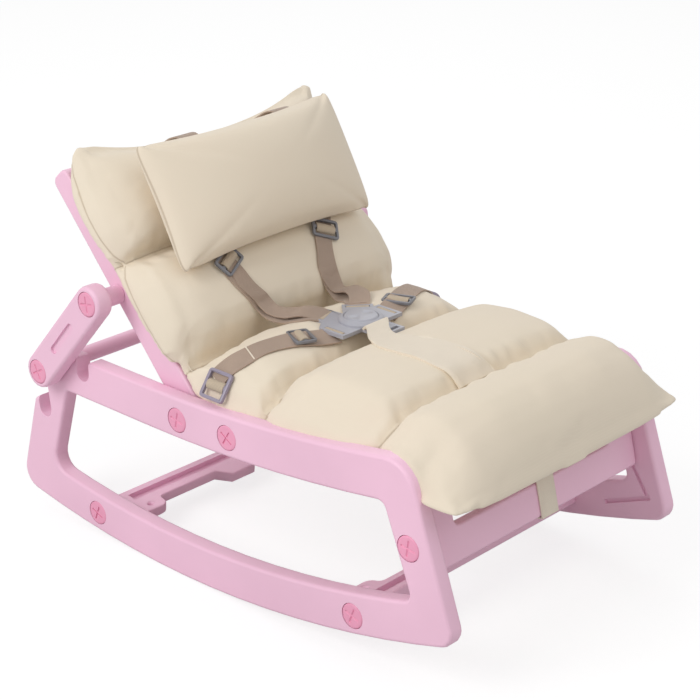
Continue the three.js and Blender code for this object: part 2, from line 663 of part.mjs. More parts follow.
function seatPadGeometry() {
  const rings = seatRows.map(([back, , half, sag]) => {
    const y = -back;
    const floor = seatFloor(y);
    const rest = SEAT_PAD.rest;
    const deep = Math.max(Math.min(sag, floor - SEAT_PAD.footLow + SEAT_PAD.footSag), 0);
    const side = Math.max(half - SEAT_PAD.seamLift / 2, rest + GAP);
    const edge = rest - SEAT_PAD.seamLift;
    const under = [[side, 0], [rest, 0], ...UNDER_SHARES.map(([share, drop]) => [edge * share, drop])]
      .map(([x, drop]) => [x, floor - deep * drop]);
    const over = CROWN_SHARES.map(([share]) => [half * share, seatTop(half * share, y)]);
    const right = [...over.slice(0, -1)].reverse();
    return [
      [0, y, over.at(-1)[1]],
      ...right.map(([x, z]) => [x, y, z]),
      ...under.map(([x, z]) => [x, y, z]),
      ...[...under.slice(0, -1)].reverse().map(([x, z]) => [-x, y, z]),
      ...over.slice(0, -1).map(([x, z]) => [-x, y, z]),
    ];
  });
  return ringLoft(rings);
}

// Back cushions, in the back's own frame: stations by share of the pad's length from its lower end,
// then the front and the underside by share of the crown, and between them the width by share of its range.
// Both faces meet at the top in a seam that stands off the posts.
const BACK_STATION_SHARES = [
  [0, 0.5, 0, 0], [0.03, 0.74, 0.4, 0], [0.1, 0.93, 0.8, 0], [0.21, 1, 1, 0], [0.32, 0.96, 1, 0],
  [0.41, 0.82, 0.6, 0], [0.475, 0.62, 0, 0], [0.54, 0.82, 0.6, 0], [0.62, 0.96, 1, 0], [0.73, 1, 1, 0],
  [0.83, 0.98, 0.4, 0.1], [0.91, 0.92, -0.2, 0.3], [0.96, 0.84, -0.6, 0.47], [1, 0.7, -1, 0.62],
];

function backHalf(swell) {
  const { creaseHalf, swellHalf, topHalf } = BACK_PAD;
  return creaseHalf + swell * (swell < 0 ? creaseHalf - topHalf : swellHalf - creaseHalf);
}

const backRear = (y, under) => Math.max(postFront(Math.min(y, BACK.length)) + GAP, BACK_PAD.crown * under);
const backSeam = (rear, crown) => rear + (crown - rear) * BACK_SEAM_SHARE;

function backPadGeometry() {
  const rings = BACK_STATION_SHARES.map(([share, crown, swell, raised]) => {
    const y = BACK_PAD.low + BACK_PAD_LENGTH * share;
    const half = backHalf(swell);
    const rear = backRear(y, raised);
    const top = BACK_PAD.crown * crown;
    const seam = backSeam(rear, top);
    const over = CROWN_SHARES.map(([s, rise]) => [half * s, seam + (top - seam) * rise]);
    const under = [[half - (seam - rear) / 2, rear], [half / 2, rear], [0, rear]];
    return [
      [0, y, over.at(-1)[1]],
      ...[...over.slice(0, -1)].reverse().map(([x, z]) => [x, y, z]),
      ...under.map(([x, z]) => [x, y, z]),
      ...[...under.slice(0, -1)].reverse().map(([x, z]) => [-x, y, z]),
      ...over.slice(0, -1).map(([x, z]) => [-x, y, z]),
    ];
  });
  return ringLoft(rings);
}

const PILLOW_SPAN_SHARES = [0, 0.4, 0.7, 0.88, 0.96, 1];
const PILLOW_THIN_SHARE = 0.16;

function pillowGeometry() {
  const middle = (PILLOW.low + PILLOW.high) / 2;
  const reach = (PILLOW.high - PILLOW.low) / 2;
  const spans = [...PILLOW_SPAN_SHARES.slice(1).reverse().map((share) => -share), ...PILLOW_SPAN_SHARES];
  const rings = spans.map((span) => {
    const full = (1 - Math.abs(span) ** PILLOW_POWERS.blunt) ** PILLOW_POWERS.full;
    const lift = Math.max(full, PILLOW_THIN_SHARE);
    const half = PILLOW.halfWidth * (1 - PILLOW_DRAW_SHARE * (1 - span * span));
    const face = (depth) => CROWN_SHARES.map(([share, rise]) =>
      [half * share, PILLOW.seam + depth * lift * Math.max(rise, PILLOW_THIN_SHARE)]);
    const y = middle + reach * span;
    const over = face(PILLOW.front - PILLOW.seam);
    const under = face(PILLOW.rear - PILLOW.seam);
    return [
      ...over.map(([x, z]) => [x, y, z]).reverse(),
      ...under.map(([x, z]) => [x, y, z]),
      ...under.slice(0, -1).map(([x, z]) => [-x, y, z]).reverse(),
      ...over.slice(0, -1).map(([x, z]) => [-x, y, z]),
    ];
  });
  return ringLoft(rings);
}

// Harness

// Highest point of the seat within some reach of (x, y)
function overSeat(x, y, reachX, reachY) {
  const heights = SPREAD_SHARES.flatMap((a) =>
    SPREAD_SHARES.map((b) => seatTop(x + a * reachX, y + b * reachY)));
  return Math.max(...heights);
}
const SPREAD_SHARES = [-1, -0.75, -0.5, -0.25, 0, 0.25, 0.5, 0.75, 1];

function backTop(x, y) {
  const at = Math.max(y - BACK_PAD.low, 0) / BACK_PAD_LENGTH;
  const [, crown, swell, raised] = between(BACK_STATION_SHARES, at);
  const [, share] = between([...CROWN_SHARES].reverse(), Math.abs(x) / backHalf(swell));
  const top = BACK_PAD.crown * crown;
  const seam = backSeam(backRear(y, raised), top);
  return seam + (top - seam) * share;
}

const BUCKLE_LOW = overSeat(BUCKLE.x, BUCKLE.y, BUCKLE.armReach, BUCKLE.armReach) + BUCKLE.lift;
const ARM_MIDDLE = BUCKLE_LOW + BUCKLE.armThickness / 2;
const armEnd = (name, past) => point(BUCKLE.armReach + past, 0)
  .rotateAround(point(0, 0), rad(BUCKLE_ARM_ANGLES[name]))
  .add(point(BUCKLE.x, BUCKLE.y));

function buckleGeometry() {
  const { radius, thickness, dome, sides } = BUCKLE;
  const profile = [
    [0, 0], [radius, 0], [radius, thickness - 2 * dome], [radius - dome, thickness - dome],
    [radius - 3 * dome, thickness], [0, thickness],
  ].map(([r, h]) => point(r, h));
  const disc = new THREE.LatheGeometry(profile, sides).rotateX(Math.PI / 2);
  const turned = (geometry, name) => geometry.rotateZ(rad(BUCKLE_ARM_ANGLES[name]));
  const arms = Object.keys(BUCKLE_ARM_ANGLES).map((name) => {
    const half = BUCKLE.armWidth / 2;
    return turned(block(0, BUCKLE.armReach, -half, half, 0, BUCKLE.armThickness), name);
  });
  const slots = Object.keys(BUCKLE_ARM_ANGLES).map((name) => {
    const half = BUCKLE.slotWidth / 2;
    const outer = BUCKLE.armReach - BUCKLE.slotRim;
    const top = BUCKLE.armThickness + OVERRUN;
    return turned(block(outer - BUCKLE.slotDepth, outer, -half, half, -OVERRUN, top), name);
  });
  const { wellRadius, wellDepth } = BUCKLE;
  const well = new THREE.CylinderGeometry(wellRadius, wellRadius, wellDepth + OVERRUN, sides)
    .rotateX(Math.PI / 2)
    .translate(0, 0, thickness + (OVERRUN - wellDepth) / 2);
  const body = join([disc, ...arms]);
  return geometryOf([...slots, well].reduce((solid, cutter) => solid.subtract(solidOf(cutter)), body));
}

function buttonGeometry() {
  const { buttonRadius, dome } = BUCKLE;
  const low = BUCKLE.thickness - BUCKLE.wellDepth + BUCKLE.travel + GAP;
  const top = low + BUCKLE.buttonHeight;
  const profile = [
    [0, low], [buttonRadius, low], [buttonRadius, top - dome], [buttonRadius - dome, top], [0, top],
  ].map(([r, h]) => point(r, h));
  return new THREE.LatheGeometry(profile, BUCKLE.sides).rotateX(Math.PI / 2);
}

// A ladder frame for webbing: two slots with a bar between them, long side across the strap
function ladderGeometry({ length, width, thickness, rim, bar }) {
  const shape = outline(mirrored([[width / 2, -length / 2, rim], [width / 2, length / 2, rim]]), 2);
  const slot = (side) => block(
    side > 0 ? bar / 2 : rim - width / 2, side > 0 ? width / 2 - rim : -bar / 2,
    rim - length / 2, length / 2 - rim, -thickness, thickness,
  );
  return geometryOf(cut(board(shape, thickness, 0), [slot(1), slot(-1)]));
}

// A side clip leans on the seat's flank and stands clear of the side frame's top edge
function clipPlace() {
  const [sine, cosine] = [Math.sin(rad(CLIP_TILT_ANGLE)), Math.cos(rad(CLIP_TILT_ANGLE))];
  const drop = (CLIP.width * sine + CLIP.thickness * cosine) / 2;
  const reach = (CLIP.width * cosine + CLIP.thickness * sine) / 2;
  const z = railZ(CLIP.y - CLIP.length / 2) + CLIP.clear + drop;
  const flank = Math.max(...SPREAD_SHARES.flatMap((spread) => {
    const y = CLIP.y + (spread * CLIP.length) / 2;
    const [, , half] = between(seatRows, -y);
    return CROWN_SHARES.map(([share]) => half * share * sine + seatTop(half * share, y) * cosine);
  }));
  const x = (flank + CLIP.thickness / 2 + GAP - z * cosine) / sine;
  return { x, z, reach };
}
const CLIP_PLACE = clipPlace();

function lapRoute(side) {
  const start = armEnd(side > 0 ? "lap_left" : "lap_right", BUCKLE.strapGap);
  const end = point(side * (CLIP_PLACE.x - CLIP_PLACE.reach - LAP.clear), LAP.endY);
  const steps = Math.round(start.distanceTo(end) / LAP.step);
  const rise = WEB.thickness / 2 + WEB.lift;
  return Array.from({ length: steps + 1 }, (_, i) => {
    const at = start.clone().lerp(end, i / steps);
    const over = overSeat(at.x, at.y, LAP.step / 2, WEB.width / 2) + rise;
    return space(at.x, at.y, i === 0 ? ARM_MIDDLE : over);
  });
}

function shoulderRoute(side) {
  const steps = Math.round((SHOULDER.topY - SHOULDER.lowY) / SHOULDER.step);
  const rise = WEB.thickness / 2 + WEB.lift;
  return Array.from({ length: steps + 1 }, (_, i) => {
    const share = i / steps;
    const x = SHOULDER.topX + (SHOULDER.lowX - SHOULDER.topX) * share;
    const y = SHOULDER.topY + (SHOULDER.lowY - SHOULDER.topY) * share;
    const heights = SPREAD_SHARES.map((spread) =>
      backTop(Math.max(x + (spread * WEB.width) / 2, 0), y + spread * SHOULDER.step));
    const over = Math.max(...heights) + rise;
    const front = over + (SHOULDER.lowFront - over) * share ** 3;
    return space(side * x, y, Math.max(front, over));
  });
}

function stubRoute(side) {
  const name = side > 0 ? "shoulder_left" : "shoulder_right";
  return STUB_SHARES.map((share) => {
    const at = armEnd(name, BUCKLE.strapGap + SHOULDER.stub * share);
    const reach = SHOULDER.stubReach;
    const rest = overSeat(at.x, at.y, reach, reach) + WEB.thickness / 2 + WEB.lift;
    return space(at.x, at.y, ARM_MIDDLE + (rest - ARM_MIDDLE) * share);
  });
}
const STUB_SHARES = [0, 0.5, 1];

function crotchRoute() {
  const start = armEnd("crotch", BUCKLE.strapGap + CROTCH.thickness);
  const end = point(CROTCH.endX, CROTCH.endY);
  const steps = Math.round(start.distanceTo(end) / CROTCH.step);
  return Array.from({ length: steps + 1 }, (_, i) => {
    const at = start.clone().lerp(end, i / steps);
    const high = overSeat(at.x, at.y, CROTCH.narrow, CROTCH.step / 2) + CROTCH.thickness / 2 + WEB.lift;
    return space(at.x, at.y, i === 0 ? Math.max(ARM_MIDDLE, high) : high);
  });
}

function crotchHalf(i) {
  const past = Math.min((i * CROTCH.step) / CROTCH.broadFrom, 1);
  return CROTCH.narrow + (CROTCH.broad - CROTCH.narrow) * past * past;
}

function pillowStrapRoute(side) {
  const top = BACK_PAD.low + BACK_PAD_LENGTH;
  const rise = WEB.thickness / 2 + WEB.lift;
  const [, crown, , raised] = BACK_STATION_SHARES.at(-1);
  const front = BACK_PAD.crown * crown + rise;
  const under = BACK_PAD.crown * raised - rise;
  const low = railYs.upper + RAIL.height / 2 + PILLOW_STRAP.clear;
  const corners = [
    [PILLOW.high + 3 * GAP, PILLOW.seam], [(PILLOW.high + top) / 2, (PILLOW.seam + front) / 2 + 3 * rise],
    [top + rise / 2, front], [top + 2 * rise, (front + under) / 2], [top + rise / 2, under],
    [low, BACK.topDepth - rise],
  ];
  return corners.map(([y, z]) => space(side * PILLOW_STRAP.x, y, z));
}

function footLoopGeometry() {
  const front = PANEL.thickness / 2 + GAP;
  const low = -PANEL.drop - GAP;
  const thick = FOOT_LOOP.thickness;
  const points = [
    [low - thick, -front - thick], [FOOT_LOOP.top, -front - thick], [FOOT_LOOP.top, -front],
    [low, -front], [low, front],
    [FOOT_LOOP.top, front], [FOOT_LOOP.top, front + thick], [low - thick, front + thick],
  ].map(([y, z]) => point(y, z));
  return sidePlate(points, [], FOOT_LOOP.x - FOOT_LOOP.width / 2, FOOT_LOOP.width, 0);
}

// The chair

const chair = new THREE.Group();
chair.add(
  crossbar("rear_crossbar", SEATS.rear, -1),
  crossbar("front_crossbar", SEATS.front, 1),
  crossbar("seat_crossbar", SEATS.seat, -1),
  piece("seat_pad", seatPadGeometry(), CREAM, ROUGH.cloth),
);

const front = new THREE.Group();
front.position.set(0, SEATS.panel.y, SEATS.panel.z);
front.rotation.x = Math.PI / 2 - rad(SEATS.panel.lean);
front.add(
  piece("front_panel", panelGeometry(), PINK, ROUGH.plastic),
  piece("foot_loop", footLoopGeometry(), CREAM, ROUGH.cloth),
);

const back = new THREE.Group();
back.position.set(0, SEATS.pivot.y, SEATS.pivot.z);
back.rotation.x = rad(BACK.lean);
back.add(
  piece("back_pad", backPadGeometry(), CREAM, ROUGH.cloth),
  piece("head_pillow", pillowGeometry(), CREAM, ROUGH.cloth),
);
for (const [name, y] of Object.entries(railYs)) {
  back.add(piece(`back_rail_${name}`, backRail(y), PINK, ROUGH.plastic));
}

const prop = new THREE.Group();
prop.position.set(0, PROP.anchorY, PROP.anchorZ);
prop.rotation.x = Math.atan2(NOTCH.midZ - PROP.anchorZ, NOTCH.midY - PROP.anchorY);
const bar = piece("prop_bar", propBarGeometry(), PINK, ROUGH.plastic);
bar.position.y = PROP_LENGTH;
bar.rotation.x = -prop.rotation.x;
prop.add(bar);

const harness = new THREE.Group();
const buckle = piece("buckle", buckleGeometry(), GREY, ROUGH.hardware);
const button = piece("buckle_button", buttonGeometry(), GREY, ROUGH.hardware);
for (const mesh of [buckle, button]) mesh.position.set(BUCKLE.x, BUCKLE.y, BUCKLE_LOW);
const upward = space(0, 0, 1);
const strap = (name, route, up = upward) =>
  piece(name, ribbon(route, up, WEB.width / 2, WEB.thickness), TAUPE, ROUGH.webbing);
harness.add(
  buckle,
  button,
  piece("crotch_strap", ribbon(crotchRoute(), upward, crotchHalf, CROTCH.thickness), CREAM, ROUGH.cloth),
);

const screwTurns = { panel: 8, front: 20, pivot: 12, seat: 32, rear: 22 };
const frameShank = HALF - SCREW.headDepth - INNER + SCREW.reach;
const anchorShank = LINK_OUTER - SCREW.headDepth - POST_INNER - OVERRUN;
const barShank = LINK_OUTER - SCREW.headDepth - LINK_INNER + PROP_BAR.reach;
const onStrap = (WEB.thickness + SLIDER.thickness) / 2 + GAP;
for (const [name, side] of SIDES) {
  chair.add(piece(`side_frame_${name}`, sideFrame(side), PINK, ROUGH.plastic));
  for (const [seat, { y, z }] of Object.entries(SEATS)) {
    chair.add(screw(`${seat}_screw_${name}`, side, HALF, y, z, frameShank, screwTurns[seat]));
  }

  back.add(piece(`back_post_${name}`, backPost(side), PINK, ROUGH.plastic));
  const bore = [BACK.halfWidth - OVERRUN, LINK_INNER + OVERRUN, anchor.x, anchor.y, SCREW.sides / 2];
  const spacer = cut(
    sideRod(side, SPACER.radius, BACK.halfWidth + GAP, LINK_INNER - GAP, anchor.x, anchor.y, SPACER.sides),
    [sideRod(side, SCREW.shankRadius + GAP, ...bore)],
  );
  back.add(piece(`spacer_${name}`, geometryOf(spacer), PINK, ROUGH.plastic));
  back.add(screw(`link_screw_${name}`, side, LINK_OUTER, anchor.x, anchor.y, anchorShank, screwTurns.seat));
  prop.add(piece(`prop_link_${name}`, linkGeometry(side), PINK, ROUGH.plastic));
  prop.add(screw(`bar_screw_${name}`, side, LINK_OUTER, PROP_LENGTH, 0, barShank, screwTurns.front));

  const lap = lapRoute(side);
  harness.add(strap(`lap_strap_${name}`, lap));
  const lapSlider = piece(`lap_slider_${name}`, ladderGeometry(SLIDER), GREY, ROUGH.hardware);
  const offReach = (at) => Math.abs(Math.abs(at.x) - SLIDER.lapReach);
  const nearest = lap.reduce((best, at) => (offReach(at) < offReach(best) ? at : best));
  lapSlider.position.copy(nearest).add(space(0, 0, onStrap + WEB.lift));
  harness.add(lapSlider);
  const clip = piece(`side_clip_${name}`, ladderGeometry(CLIP), GREY, ROUGH.hardware);
  clip.position.set(side * CLIP_PLACE.x, CLIP.y, CLIP_PLACE.z);
  clip.rotation.y = side > 0 ? rad(CLIP_TILT_ANGLE) : Math.PI - rad(CLIP_TILT_ANGLE);
  harness.add(clip, strap(`shoulder_strap_end_${name}`, stubRoute(side)));

  const shoulder = shoulderRoute(side);
  const shoulderSlider = piece(`shoulder_slider_${name}`, ladderGeometry(SLIDER), GREY, ROUGH.hardware);
  shoulderSlider.position.copy(shoulder[1]).add(space(0, 0, onStrap + SLIDER.lift));
  const splay = Math.atan2(SHOULDER.lowX - SHOULDER.topX, SHOULDER.topY - SHOULDER.lowY);
  shoulderSlider.rotation.z = Math.PI / 2 + side * splay;
  back.add(strap(`shoulder_strap_${name}`, shoulder), shoulderSlider);
  back.add(strap(`pillow_strap_${name}`, pillowStrapRoute(side), space(0, 1, 0)));
}
chair.add(front, back, prop, harness);

// The origin is the middle of the chair's outer box, at floor level
const bounds = new THREE.Box3().setFromObject(chair, true);
const middle = bounds.getCenter(space(0, 0, 0));
chair.position.set(-middle.x, -middle.y, -bounds.min.z);
const part = new THREE.Group();
part.add(chair);

export default part;
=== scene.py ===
"""Kids rocking chair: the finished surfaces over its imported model, in metres, in the model's own frame."""

import json
import logging
import math
from dataclasses import dataclass, field
from enum import Enum
from typing import Optional, Sequence

import bmesh
import bpy
import numpy as np
from mathutils import Matrix, Vector, noise
from mathutils.bvhtree import BVHTree


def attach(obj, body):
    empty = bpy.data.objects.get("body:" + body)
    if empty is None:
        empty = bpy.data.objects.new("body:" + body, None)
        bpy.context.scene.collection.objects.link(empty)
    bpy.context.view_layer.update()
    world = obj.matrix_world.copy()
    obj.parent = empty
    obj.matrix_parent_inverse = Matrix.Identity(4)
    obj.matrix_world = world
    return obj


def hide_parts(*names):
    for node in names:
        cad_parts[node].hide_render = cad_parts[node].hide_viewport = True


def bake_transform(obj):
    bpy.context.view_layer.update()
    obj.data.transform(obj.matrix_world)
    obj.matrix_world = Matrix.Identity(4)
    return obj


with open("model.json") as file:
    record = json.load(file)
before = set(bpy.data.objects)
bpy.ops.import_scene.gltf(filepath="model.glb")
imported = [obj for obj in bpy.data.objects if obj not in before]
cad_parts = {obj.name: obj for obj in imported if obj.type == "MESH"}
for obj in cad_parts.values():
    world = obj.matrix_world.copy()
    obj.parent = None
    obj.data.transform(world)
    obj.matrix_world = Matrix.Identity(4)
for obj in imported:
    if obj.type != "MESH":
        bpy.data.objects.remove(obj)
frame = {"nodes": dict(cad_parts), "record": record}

LOG = logging.getLogger("rocking_chair")
MM = 0.001
FLOOR_SHIFT = Vector((0.0, 0.074224, -0.000167))
RECLINE = math.radians(48.72)
RECLINE_PIVOT = Vector((0.0, -0.019, 0.1781)) + FLOOR_SHIFT
WELD_REACH = 2e-6


class Body(str, Enum):
    """The moving bodies that a piece may ride on."""

    BASE = "base"
    BACKREST = "backrest"
    PROP = "prop"
    BUTTON = "button"


class Side(Enum):
    """The sitter's right or left side of the chair, with its sign along X."""

    RIGHT = -1
    LEFT = 1

    @property
    def word(self) -> str:
        """The side's name as the model writes it."""
        return self.name.lower()


def seat_point(x: float, y: float, z: float) -> Vector:
    """A point of the chair's own drawing in millimetres, as a point of the model in metres."""
    return Vector((x, y, z)) * MM + FLOOR_SHIFT


def back_point(x: float, along: float, front: float) -> Vector:
    """A point of the reclined back in millimetres, as a point of the model in metres.

    Args:
        x: Distance across the chair.
        along: Distance up the back posts from the pivot.
        front: Distance out of the posts towards the sitter.

    Returns:
        The point in the model's frame.
    """
    return Matrix.Rotation(RECLINE, 3, "X") @ (Vector((x, along, front)) * MM) + RECLINE_PIVOT


def linear(colour: Sequence[float]) -> tuple[float, float, float, float]:
    """An sRGB colour with parts from 0 to 255, as linear light with alpha."""
    parts = [c / 255 for c in colour]
    return (*[p / 12.92 if p <= 0.04045 else ((p + 0.055) / 1.055) ** 2.4 for p in parts], 1.0)


class Bench:
    """The hand moves that every piece is made with."""

    @staticmethod
    def clear() -> None:
        """Leaves nothing selected."""
        if bpy.context.object is not None and bpy.context.object.mode != "OBJECT":
            bpy.ops.object.mode_set(mode="OBJECT")
        bpy.ops.object.select_all(action="DESELECT")

    @staticmethod
    def take(obj: bpy.types.Object) -> bpy.types.Object:
        """Selects one object alone and makes it the active one.

        Args:
            obj: The object to select.

        Returns:
            The same object.
        """
        Bench.clear()
        obj.select_set(True)
        bpy.context.view_layer.objects.active = obj
        return obj

    @staticmethod
    def settle(obj: bpy.types.Object, name: str) -> bpy.types.Object:
        """Names a new primitive and moves its place into its mesh.

        Args:
            obj: The object to settle.
            name: The piece's name.

        Returns:
            The same object, at the origin.
        """
        Bench.take(obj)
        bpy.ops.object.transform_apply(location=True, rotation=True, scale=True)
        obj.name = name
        obj.data.name = name
        return obj

    @staticmethod
    def finish_modifier(obj: bpy.types.Object, kind: str, **values: object) -> None:
        """Adds a modifier with its values and applies it.

        Args:
            obj: The object to work on.
            kind: The modifier's type.
            **values: The modifier's settings.
        """
        Bench.take(obj)
        modifier = obj.modifiers.new(kind.lower(), kind)
        for key, value in values.items():
            setattr(modifier, key, value)
        bpy.ops.object.modifier_apply(modifier=modifier.name)

    @staticmethod
    def combine(obj: bpy.types.Object, other: bpy.types.Object, how: str) -> None:
        """Joins another solid into this one, or cuts it out of it, and removes the other.

        Args:
            obj: The solid that stays.
            other: The solid that is used up.
            how: UNION or DIFFERENCE.
        """
        Bench.finish_modifier(obj, "BOOLEAN", object=other, operation=how, solver="EXACT")
        bpy.data.objects.remove(other)

    @staticmethod
    def round_edges(obj: bpy.types.Object, width: float, degrees: float) -> None:
        """Rounds the edges between faces that meet at more than an angle.

        Args:
            obj: The object to work on.
            width: How much each edge gives, in metres.
            degrees: The angle.
        """
        Bench.finish_modifier(
            obj, "BEVEL", width=width, segments=2, limit_method="ANGLE", angle_limit=math.radians(degrees),
            use_clamp_overlap=True,
        )

    @staticmethod
    def smooth(obj: bpy.types.Object, degrees: float) -> None:
        """Shades an object smooth up to an angle between its faces."""
        Bench.take(obj)
        bpy.ops.object.shade_smooth_by_angle(angle=math.radians(degrees))

    @staticmethod
    def from_bmesh(bm: bmesh.types.BMesh, name: str) -> bpy.types.Object:
        """Turns finished edit data into an object in the scene.

        Args:
            bm: The edit data, which is freed.
            name: The object's name.

        Returns:
            The object.
        """
        mesh = bpy.data.meshes.new(name)
        bm.to_mesh(mesh)
        bm.free()
        obj = bpy.data.objects.new(name, mesh)
        bpy.context.scene.collection.objects.link(obj)
        return obj

    @staticmethod
    def copy_of(node: str, name: str) -> bpy.types.Object:
        """Copies a model node and welds the copy's loose triangles.

        Args:
            node: The node's name.
            name: The new piece's name.

        Returns:
            The welded copy.
        """
        source = frame["nodes"][node]
        obj = bpy.data.objects.new(name, source.data.copy())
        obj.data.name = name
        obj.data.materials.clear()
        bpy.context.scene.collection.objects.link(obj)
        if obj.data.has_custom_normals:
            Bench.take(obj)
            bpy.ops.mesh.customdata_custom_splitnormals_clear()
        Bench.take(obj)
        bpy.ops.object.mode_set(mode="EDIT")
        bpy.ops.mesh.select_all(action="SELECT")
        bpy.ops.mesh.remove_doubles(threshold=WELD_REACH)
        bpy.ops.object.mode_set(mode="OBJECT")
        return obj

    @staticmethod
    def place(
        obj: bpy.types.Object, body: Body, slot: str, material: bpy.types.Material, *nodes: str,
    ) -> bpy.types.Object:
        """Gives a piece its finish and hangs it on its body.

        Args:
            obj: The finished piece.
            body: The body that it moves with.
            slot: The record's material slot; not used.
            material: Its finish.
            *nodes: The model nodes that it stands for.

        Returns:
            The same object.
        """
        obj.data.materials.clear()
        obj.data.materials.append(material)
        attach(obj, body.value)
        if nodes:
            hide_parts(*nodes)
        LOG.info("%s rides on %s, %d faces", obj.name, body.value, len(obj.data.polygons))
        return obj


class NodeSheet:
    """A material's node tree, with a short way to add and link its nodes."""

    def __init__(self, name: str) -> None:
        """Starts a material with one shader.

        Args:
            name: The material's name.
        """
        self.material = bpy.data.materials.new(name)
        self.material.use_nodes = True
        self.tree = self.material.node_tree
        self.shader = self.tree.nodes["Principled BSDF"]

    def add(self, kind: str, inputs: Optional[dict[str, object]] = None, **values: object) -> bpy.types.Node:
        """Adds a node.

        Args:
            kind: The node's type.
            inputs: Values or output sockets for its inputs, by name or index.
            **values: The node's own settings.

        Returns:
            The node.
        """
        node = self.tree.nodes.new(kind)
        for key, value in values.items():
            setattr(node, key, value)
        for key, value in (inputs or {}).items():
            self.feed(node.inputs[key], value)
        return node

    def feed(self, socket: bpy.types.NodeSocket, value: object) -> None:
        """Links an output to a socket, or writes a plain value into it.

        Args:
            socket: The input.
            value: The output or the plain value.
        """
        if isinstance(value, bpy.types.NodeSocket):
            self.tree.links.new(value, socket)
        else:
            socket.default_value = value

    def set(self, **inputs: object) -> None:
        """Feeds the shader's inputs, with underscores for spaces in their names."""
        for key, value in inputs.items():
            self.feed(self.shader.inputs[key.replace("_", " ")], value)

    def between(self, factor: bpy.types.NodeSocket, low: float, high: float) -> bpy.types.NodeSocket:
        """Stretches a factor from 0 to 1 over a range."""
        node = self.add("ShaderNodeMapRange", {"Value": factor, "To Min": low, "To Max": high})
        return node.outputs["Result"]

    def shade(self, factor: object, low: object, high: object, how: str = "MIX") -> bpy.types.NodeSocket:
        """Mixes two colours by a factor.

        Args:
            factor: The second colour's share.
            low: The first colour.
            high: The second colour.
            how: The kind of mix.

        Returns:
            The mixed colour.
        """
        node = self.add("ShaderNodeMix", data_type="RGBA", blend_type=how)
        self.feed(node.inputs[0], factor)
        self.feed(node.inputs[6], low)
        self.feed(node.inputs[7], high)
        return node.outputs[2]

    def maths(self, operation: str, first: object, second: object = 0.0) -> bpy.types.NodeSocket:
        """Runs one sum on two values.

        Args:
            operation: The kind of sum.
            first: The first value.
            second: The second value.

        Returns:
            The result.
        """
        node = self.add("ShaderNodeMath", operation=operation)
        self.feed(node.inputs[0], first)
        self.feed(node.inputs[1], second)
        return node.outputs[0]

    def noise(
        self, place: bpy.types.NodeSocket, scale: float, detail: float, **more: float,
    ) -> bpy.types.NodeSocket:
        """Adds a noise from 0 to 1 at each place."""
        inputs = {"Vector": place, "Scale": scale, "Detail": detail, **more}
        return self.add("ShaderNodeTexNoise", inputs).outputs["Fac"]

    def bump(
        self, height: bpy.types.NodeSocket, depth: float, strength: float, **more: object,
    ) -> bpy.types.NodeSocket:
        """Tilts the surface by a height, in metres."""
        inputs = {"Height": height, "Distance": depth, "Strength": strength, **more}
        return self.add("ShaderNodeBump", inputs).outputs["Normal"]

    def waves(
        self, place: bpy.types.NodeSocket, length: float, wobble: bpy.types.NodeSocket,
    ) -> bpy.types.NodeSocket:
        """Lays even rows over a place in metres.

        Args:
            place: The place along one axis.
            length: How far apart the rows lie.
            wobble: How far each row is shifted, in radians.

        Returns:
            The rows' height from 0 to 1.
        """
        count = self.maths("MULTIPLY", place, 2 * math.pi / length)
        return self.between(self.maths("SINE", self.maths("ADD", count, wobble)), 0.0, 1.0)


@dataclass(frozen=True)
class MouldedPlastic:
    """Satin moulded plastic with a faint grain and a little unevenness in its colour."""

    name: str
    colour: tuple[int, int, int]
    roughness: float = 0.42
    grain: float = 900.0
    grain_depth: float = 0.00004
    cloud: float = 7.0
    handling: float = 45.0

    def material(self) -> bpy.types.Material:
        """Builds the finish.

        Returns:
            The material.
        """
        sheet = NodeSheet(self.name)
        place = sheet.add("ShaderNodeTexCoord").outputs["Object"]
        cloud = sheet.noise(place, self.cloud, 3.0)
        grain = sheet.noise(place, self.grain, 2.0)
        handling = sheet.noise(place, self.handling, 6.0, Roughness=0.7)
        deep = tuple(c * 0.93 for c in linear(self.colour)[:3]) + (1.0,)
        light = tuple(min(c * 1.05, 1.0) for c in linear(self.colour)[:3]) + (1.0,)
        sheet.set(
            Base_Color=sheet.shade(sheet.between(cloud, -0.4, 1.4), deep, light),
            Roughness=sheet.between(handling, self.roughness - 0.08, self.roughness + 0.1),
            Specular_IOR_Level=0.45,
            Normal=sheet.bump(grain, self.grain_depth, 0.5),
        )
        return sheet.material


